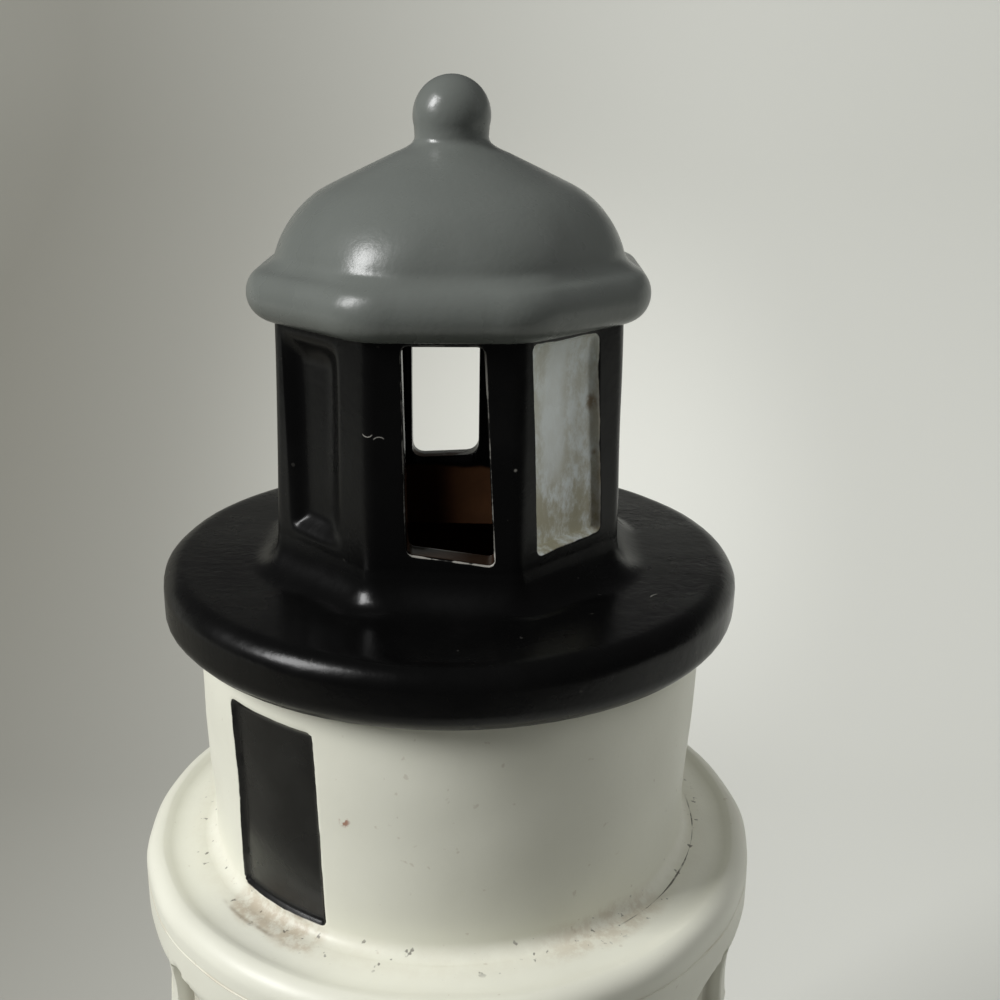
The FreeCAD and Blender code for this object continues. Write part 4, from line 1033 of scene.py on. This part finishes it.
def drum_coat():
    """Cream paint with the black door; dirt at the foot, a dark band under the disc that is rub marks with
    painted shade of its overhang, and a chip.
    """
    n = Nodes("drum_coat")
    level = from_axis(n)[1]
    color = foot_dirt(n, cream_paint(n), n.math("SUBTRACT", level, DECK_Z), 0.0)
    # a dark band just under the disc: rub marks with painted shade of the disc's overhang
    color = n.over(color, UNDER_DISC_RUB_AND_SHADE, dirt_and_shade_band(n, level, DISC_FOOT_Z, DISC_FOOT_Z - 1.5 * MM, 0.8, 120.0))
    color = n.over(color, RED_CHIP, n.spot(DRUM_CHIP, 1.6 * MM, 0.7), n.patches(700.0, 3.0, 0.42, 0.52), 0.8)
    return cream_finish(n, *black_areas(n, color))


def pane_paint(n):
    """Pale pane: a clean blue-grey band up its middle, olive and brown dirt streaks elsewhere."""
    x, y, level = n.axis()
    moved = n.plus(n.times(n.plus(x, y), math.sqrt(0.5)), n.wander(6 * MM, 60.0, 4.0))
    clean = n.times(between(n, moved, -6.0 * MM, 0.5 * MM, 2.0 * MM),
                    n.ramp(level, WINDOW_SILL_Z + 8 * MM, WINDOW_SILL_Z + 20 * MM))
    streaks = n.ramp(n.noise(260.0, 6.0, 0.7, place=n.stretched(0.55)), 0.34, 0.60)
    low = n.ramp(level, WINDOW_SILL_Z + 4 * MM, WINDOW_SILL_Z + 26 * MM, 0.95, 0.55)
    color = n.over(PANE, PANE_DIRT, streaks, low, n.ramp(clean, 0.0, 1.0, 1.0, 0.25))
    color = n.over(color, PANE_BROWN, n.ramp(moved, 6.5 * MM, 9.0 * MM), 0.5)
    for centre, radius in ((PANE_STAIN, 2.6 * MM), (PANE_STAIN_LOW, 1.3 * MM)):
        color = n.over(color, PANE_BROWN, n.spot(centre, radius, 0.6), n.patches(500.0, 3.0, 0.35, 0.55), 0.8)
    return color


def lantern_coat():
    """Thick glossy black with dust and pale chipped edges, two pale panes, raw clay inside drawn in a darker
    copy as painted shade, and painted shade on the front sill.
    """
    n = Nodes("lantern_coat")
    _, y, level = n.axis()
    rim, raw, sill = n.attribute("rim"), n.attribute("raw"), WINDOW_SILL_Z
    color = n.over(BLACK, BLACK_WORN, n.patches(35.0, 6.0, 0.45, 0.8, rough=0.65), 0.25)
    pane = n.plus(n.attribute("pane"), n.wander(0.8 * MM, 150.0, 3.0))
    color = n.over(color, pane_paint(n), n.ramp(pane, -0.1 * MM, 0.1 * MM))
    wear = n.math("SUBTRACT", rim, n.times(n.patches(240.0, 4.0, 0.40, 0.62), 0.24 * MM))
    color = n.over(color, PALE_CHIP, n.ramp(wear, -0.08 * MM, 0.04 * MM, 1.0, 0.0),
                   n.ramp(level, sill + 1.5 * MM, sill + 2.5 * MM, 1.0, 0.45), 0.55)
    marks = n.most(n.spot(LANTERN_NICK, 0.55 * MM, 0.5),
                   *(scratch(n, stroke, 0.14 * MM, 1.3 * MM) for stroke in LANTERN_SCRATCHES))
    color = n.over(color, PALE_CHIP, marks, 0.4)
    color = n.over(color, BLACK_BITS, n.patches(420.0, 2.0, 0.74, 0.765), 0.15)
    below = n.ramp(n.plus(level, n.wander(6 * MM, 45.0, 4.0)), OVERSPRAY_Z - 0.4 * MM, OVERSPRAY_Z + 0.8 * MM,
                   1.0, 0.0)
    reveal = n.times(n.patches(70.0, 4.0, 0.52, 0.60, 0.0, 0.8), n.ramp(raw, 0.9, 0.8))
    bare = n.times(n.ramp(n.plus(raw, n.wander(0.9, 90.0, 4.0)), 0.42, 0.60), n.most(below, reveal))
    # bare clay inside is drawn in its darker copy as painted shade
    color = n.over(color, clay(n, SHADED_CLAY), bare)
    # painted shade: near-black clay on the front window's sill and the reveal beside it
    color = n.over(color, SILL_SHADE, n.ramp(level, sill + 1.4 * MM, sill + 2.4 * MM, 1.0, 0.0),
                   n.ramp(y, -30 * MM, -25 * MM, 1.0, 0.0), n.ramp(raw, 0.12, 0.22))
    roughness = n.plus(n.patches(40.0, 4.0, 0.3, 0.75, 0.22, 0.36), n.times(bare, 0.45))
    normal = n.bumps((45.0, 3.0, 0.42, 0.5 * MM), (650.0, 3.0, 0.38, 0.12 * MM))
    return n.finish(color, roughness, normal, Specular_IOR_Level=LANTERN_GLOSS)


def roof_coat():
    """Satin mid-grey with a fine stipple and two scratches; raw clay in the hollow."""
    n = Nodes("roof_coat")
    color = n.mix(n.patches(25.0, 5.0, 0.3, 0.75), GREY, GREY_DARK)
    for stroke in ROOF_SCRATCHES:
        color = n.over(color, PALE_CHIP, scratch(n, stroke, 0.16 * MM, 1.9 * MM), 0.35)
    color = n.over(color, clay(n), n.ramp(n.attribute("raw"), 0.4, 0.6))
    normal = n.bumps((750.0, 3.0, 0.42, 0.14 * MM), (160.0, 3.0, 0.12, 0.3 * MM), (40.0, 3.0, 0.25, 0.5 * MM))
    return n.finish(color, n.patches(80.0, 4.0, 0.3, 0.7, 0.24, 0.34), normal, Specular_IOR_Level=ROOF_GLOSS)


def plain_finish(name, color, darker, roughness, metal=0.0):
    """Moulded or plated surface with a fine grain and slight tone change."""
    n = Nodes(name)
    shade = n.mix(n.patches(70.0, 4.0, 0.3, 0.7), color, darker)
    rough = n.patches(180.0, 2.0, 0.3, 0.7, roughness * 0.85, roughness * 1.15)
    return n.finish(shade, rough, n.bumps((900.0, 2.0, 0.2, 0.05 * MM)), Metallic=metal)


# ---------------------------------------------------------------- stage
PAPER_HALF_WIDTH, PAPER_FRONT, PAPER_BACK, PAPER_TOP, PAPER_BEND = 3.0, -0.45, 0.75, 0.56, 0.35
ROOM_LIGHT = 0.07
ROOM_SEEN = 0.5
LAMP_TARGET = Vector((0, 0, 0.30))
# azimuth and elevation in degrees, distance, width, height, watts and whether gloss shows it
LAMPS = {"window_key": (-64, 35, 1.4, 0.44, 0.64, 21.2, True),
         "right_fill": (88, 34, 1.8, 1.0, 1.2, 9.4, False)}


def studio_paper():
    """Matt paper, paler to the right, at the far left and higher up.

    Its colour carries painted shade and light: darker left of the middle, paler to the right, at the far left
    and higher up. Rays from the camera, and those that gloss or glass sends on, see it glow a little brighter
    than the lamps make it, and brighter still in a painted patch low behind the object.
    """
    n = Nodes("studio_paper")
    across, _, height = n.axis()
    lift = n.times(n.ramp(height, 0.05, 0.45), 0.22)
    # painted shade on the backdrop: darker left of the middle, paler to the right, at the far left and higher
    # up
    beside = n.most(n.ramp(across, -0.55, 0.25), n.ramp(across, -0.75, -1.3))
    color = n.mix(n.most(beside, lift), PAPER_SHADE, PAPER_PALE)
    rays = n.add("ShaderNodeLightPath").outputs
    seen = n.most(rays["Is Camera Ray"], rays["Is Glossy Ray"], rays["Is Transmission Ray"])
    glow = n.most(n.ramp(across, -0.35, 0.2, 0.08, 0.30), n.times(lift, 0.42))
    # a painted brighter patch low behind the object, glowing for camera and gloss rays
    behind = n.times(n.spot((0.02, 0.62, 0.14), 0.30, 0.9), 0.35)
    n.feed(n.shader.inputs["Emission Color"], color)
    n.feed(n.shader.inputs["Emission Strength"], n.times(seen, n.plus(glow, behind)))
    return n.finish(color, 0.9, Specular_IOR_Level=PAPER_GLOSS)


def stage():
    """Floor that goes over into an upright backdrop along a quarter round of radius PAPER_BEND."""
    bend = PAPER_BEND
    turn = np.radians(np.linspace(0, 90, 24))
    y = np.concatenate([[PAPER_FRONT, 0.0], PAPER_BACK - bend + bend * np.sin(turn), [PAPER_BACK]])
    z = np.concatenate([[0.0, 0.0], bend - bend * np.cos(turn), [PAPER_TOP]])
    sides = (-PAPER_HALF_WIDTH, PAPER_HALF_WIDTH)
    points = [(x, a, b) for a, b in zip(y.tolist(), z.tolist()) for x in sides]
    k = np.arange(len(y) - 1)
    faces = np.stack([2 * k, 2 * k + 1, 2 * k + 3, 2 * k + 2], -1)
    mesh = bpy.data.meshes.new("backdrop")
    mesh.from_pydata(points, [], faces.tolist())
    mesh.shade_smooth()
    mesh.materials.append(studio_paper())
    backdrop = bpy.data.objects.new("backdrop", mesh)
    bpy.context.scene.collection.objects.link(backdrop)


def lamp(name, azimuth, elevation, distance, width, height, watts, glossy):
    """Rectangular soft light that faces the target; azimuth from -Y towards +X."""
    a, e = math.radians(azimuth), math.radians(elevation)
    data = bpy.data.lights.new(name, "AREA")
    data.shape = "RECTANGLE"
    data.size, data.size_y = width, height
    data.energy = watts
    obj = bpy.data.objects.new(name, data)
    out = Vector((math.sin(a) * math.cos(e), -math.cos(a) * math.cos(e), math.sin(e)))
    obj.location = LAMP_TARGET + out * distance
    obj.rotation_mode = "QUATERNION"
    obj.rotation_quaternion = (-out).to_track_quat("-Z", "Y")
    obj.visible_glossy = glossy
    bpy.context.scene.collection.objects.link(obj)


def room():
    """Dim even light from all round, which the camera itself sees as a plain mid grey."""
    world = bpy.data.worlds.new("room")
    bpy.context.scene.world = world
    world.use_nodes = True
    shade = world.node_tree.nodes["Background"]
    shade.inputs["Color"].default_value = (1.0, 1.0, 1.0, 1.0)
    rays = world.node_tree.nodes.new("ShaderNodeLightPath")
    level = world.node_tree.nodes.new("ShaderNodeMapRange")
    level.inputs["To Min"].default_value = ROOM_LIGHT
    level.inputs["To Max"].default_value = ROOM_SEEN
    world.node_tree.links.new(rays.outputs["Is Camera Ray"], level.inputs["Value"])
    world.node_tree.links.new(level.outputs["Result"], shade.inputs["Strength"])


def camera():
    """The photograph's camera: turned and dipped by the fitted angles, then rolled about its view."""
    data = bpy.data.cameras.new("camera")
    data.sensor_width = 36.0
    data.lens = FOCAL_PIXELS / PHOTO_SIDE * data.sensor_width
    data.clip_start = 0.01
    ahead = Vector((math.sin(CAMERA_TURN) * math.cos(CAMERA_DIP),
                    math.cos(CAMERA_TURN) * math.cos(CAMERA_DIP), -math.sin(CAMERA_DIP)))
    right = Vector((math.cos(CAMERA_TURN), -math.sin(CAMERA_TURN), 0))
    above = right.cross(ahead)
    c, s = math.cos(CAMERA_ROLL), math.sin(CAMERA_ROLL)
    right, above = c * right + s * above, c * above - s * right
    obj = bpy.data.objects.new("camera", data)
    obj.location = CAMERA_PLACE
    obj.rotation_mode = "QUATERNION"
    obj.rotation_quaternion = Matrix((right, above, -ahead)).transposed().to_quaternion()
    bpy.context.scene.collection.objects.link(obj)
    bpy.context.scene.camera = obj


# ---------------------------------------------------------------- run
FINISH = {"plinth": plinth_coat(), "tower": tower_coat(), "cornice": cornice_coat(),
          "drum": drum_coat(), "lantern": lantern_coat(), "roof": roof_coat()}
for build in (build_plinth, build_tower, build_cornice, build_watch_room, build_lantern, build_roof):
    build()

# the battery light keeps its solids' meshes: colour, darker tone, roughness, metal, and its nodes
LIGHT_FINISHES = {
    "moulded_black": ((0.030, 0.030, 0.032), (0.022, 0.022, 0.024), 0.45, 0.0,
                      "light_housing battery_cover battery_tray light_deck switch_knob"),
    "frosted_cap": ((0.80, 0.79, 0.72), (0.74, 0.73, 0.66), 0.38, 0.0, "lens"),
    "plated_steel": ((0.62, 0.61, 0.58), (0.50, 0.49, 0.47), 0.28, 1.0,
                     "contact_springs contact_plates board_screws switch_body"),
    "bright_dish": ((0.80, 0.80, 0.79), (0.74, 0.74, 0.73), 0.10, 1.0, "reflector"),
    "cell_jacket": ((0.09, 0.10, 0.12), (0.07, 0.08, 0.10), 0.25, 0.3, "battery_1 battery_2"),
    "board_mask": ((0.05, 0.20, 0.09), (0.04, 0.16, 0.07), 0.35, 0.0, "circuit_board"),
    "chip_face": ((0.85, 0.70, 0.25), (0.80, 0.64, 0.20), 0.3, 0.0, "led"),
    "soft_seal": ((0.05, 0.05, 0.05), (0.035, 0.035, 0.035), 0.7, 0.0, "cover_seal"),
}
for name, (tone, darker, roughness, metal, nodes) in LIGHT_FINISHES.items():
    finish = plain_finish(name, rgba(*tone), rgba(*darker), roughness, metal)
    for node in nodes.split():
        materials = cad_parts[node].data.materials
        materials.clear()
        materials.append(finish)

stage()
for name, settings in LAMPS.items():
    lamp(name, *settings)
room()
camera()
bpy.context.scene.view_settings.view_transform = "Standard"
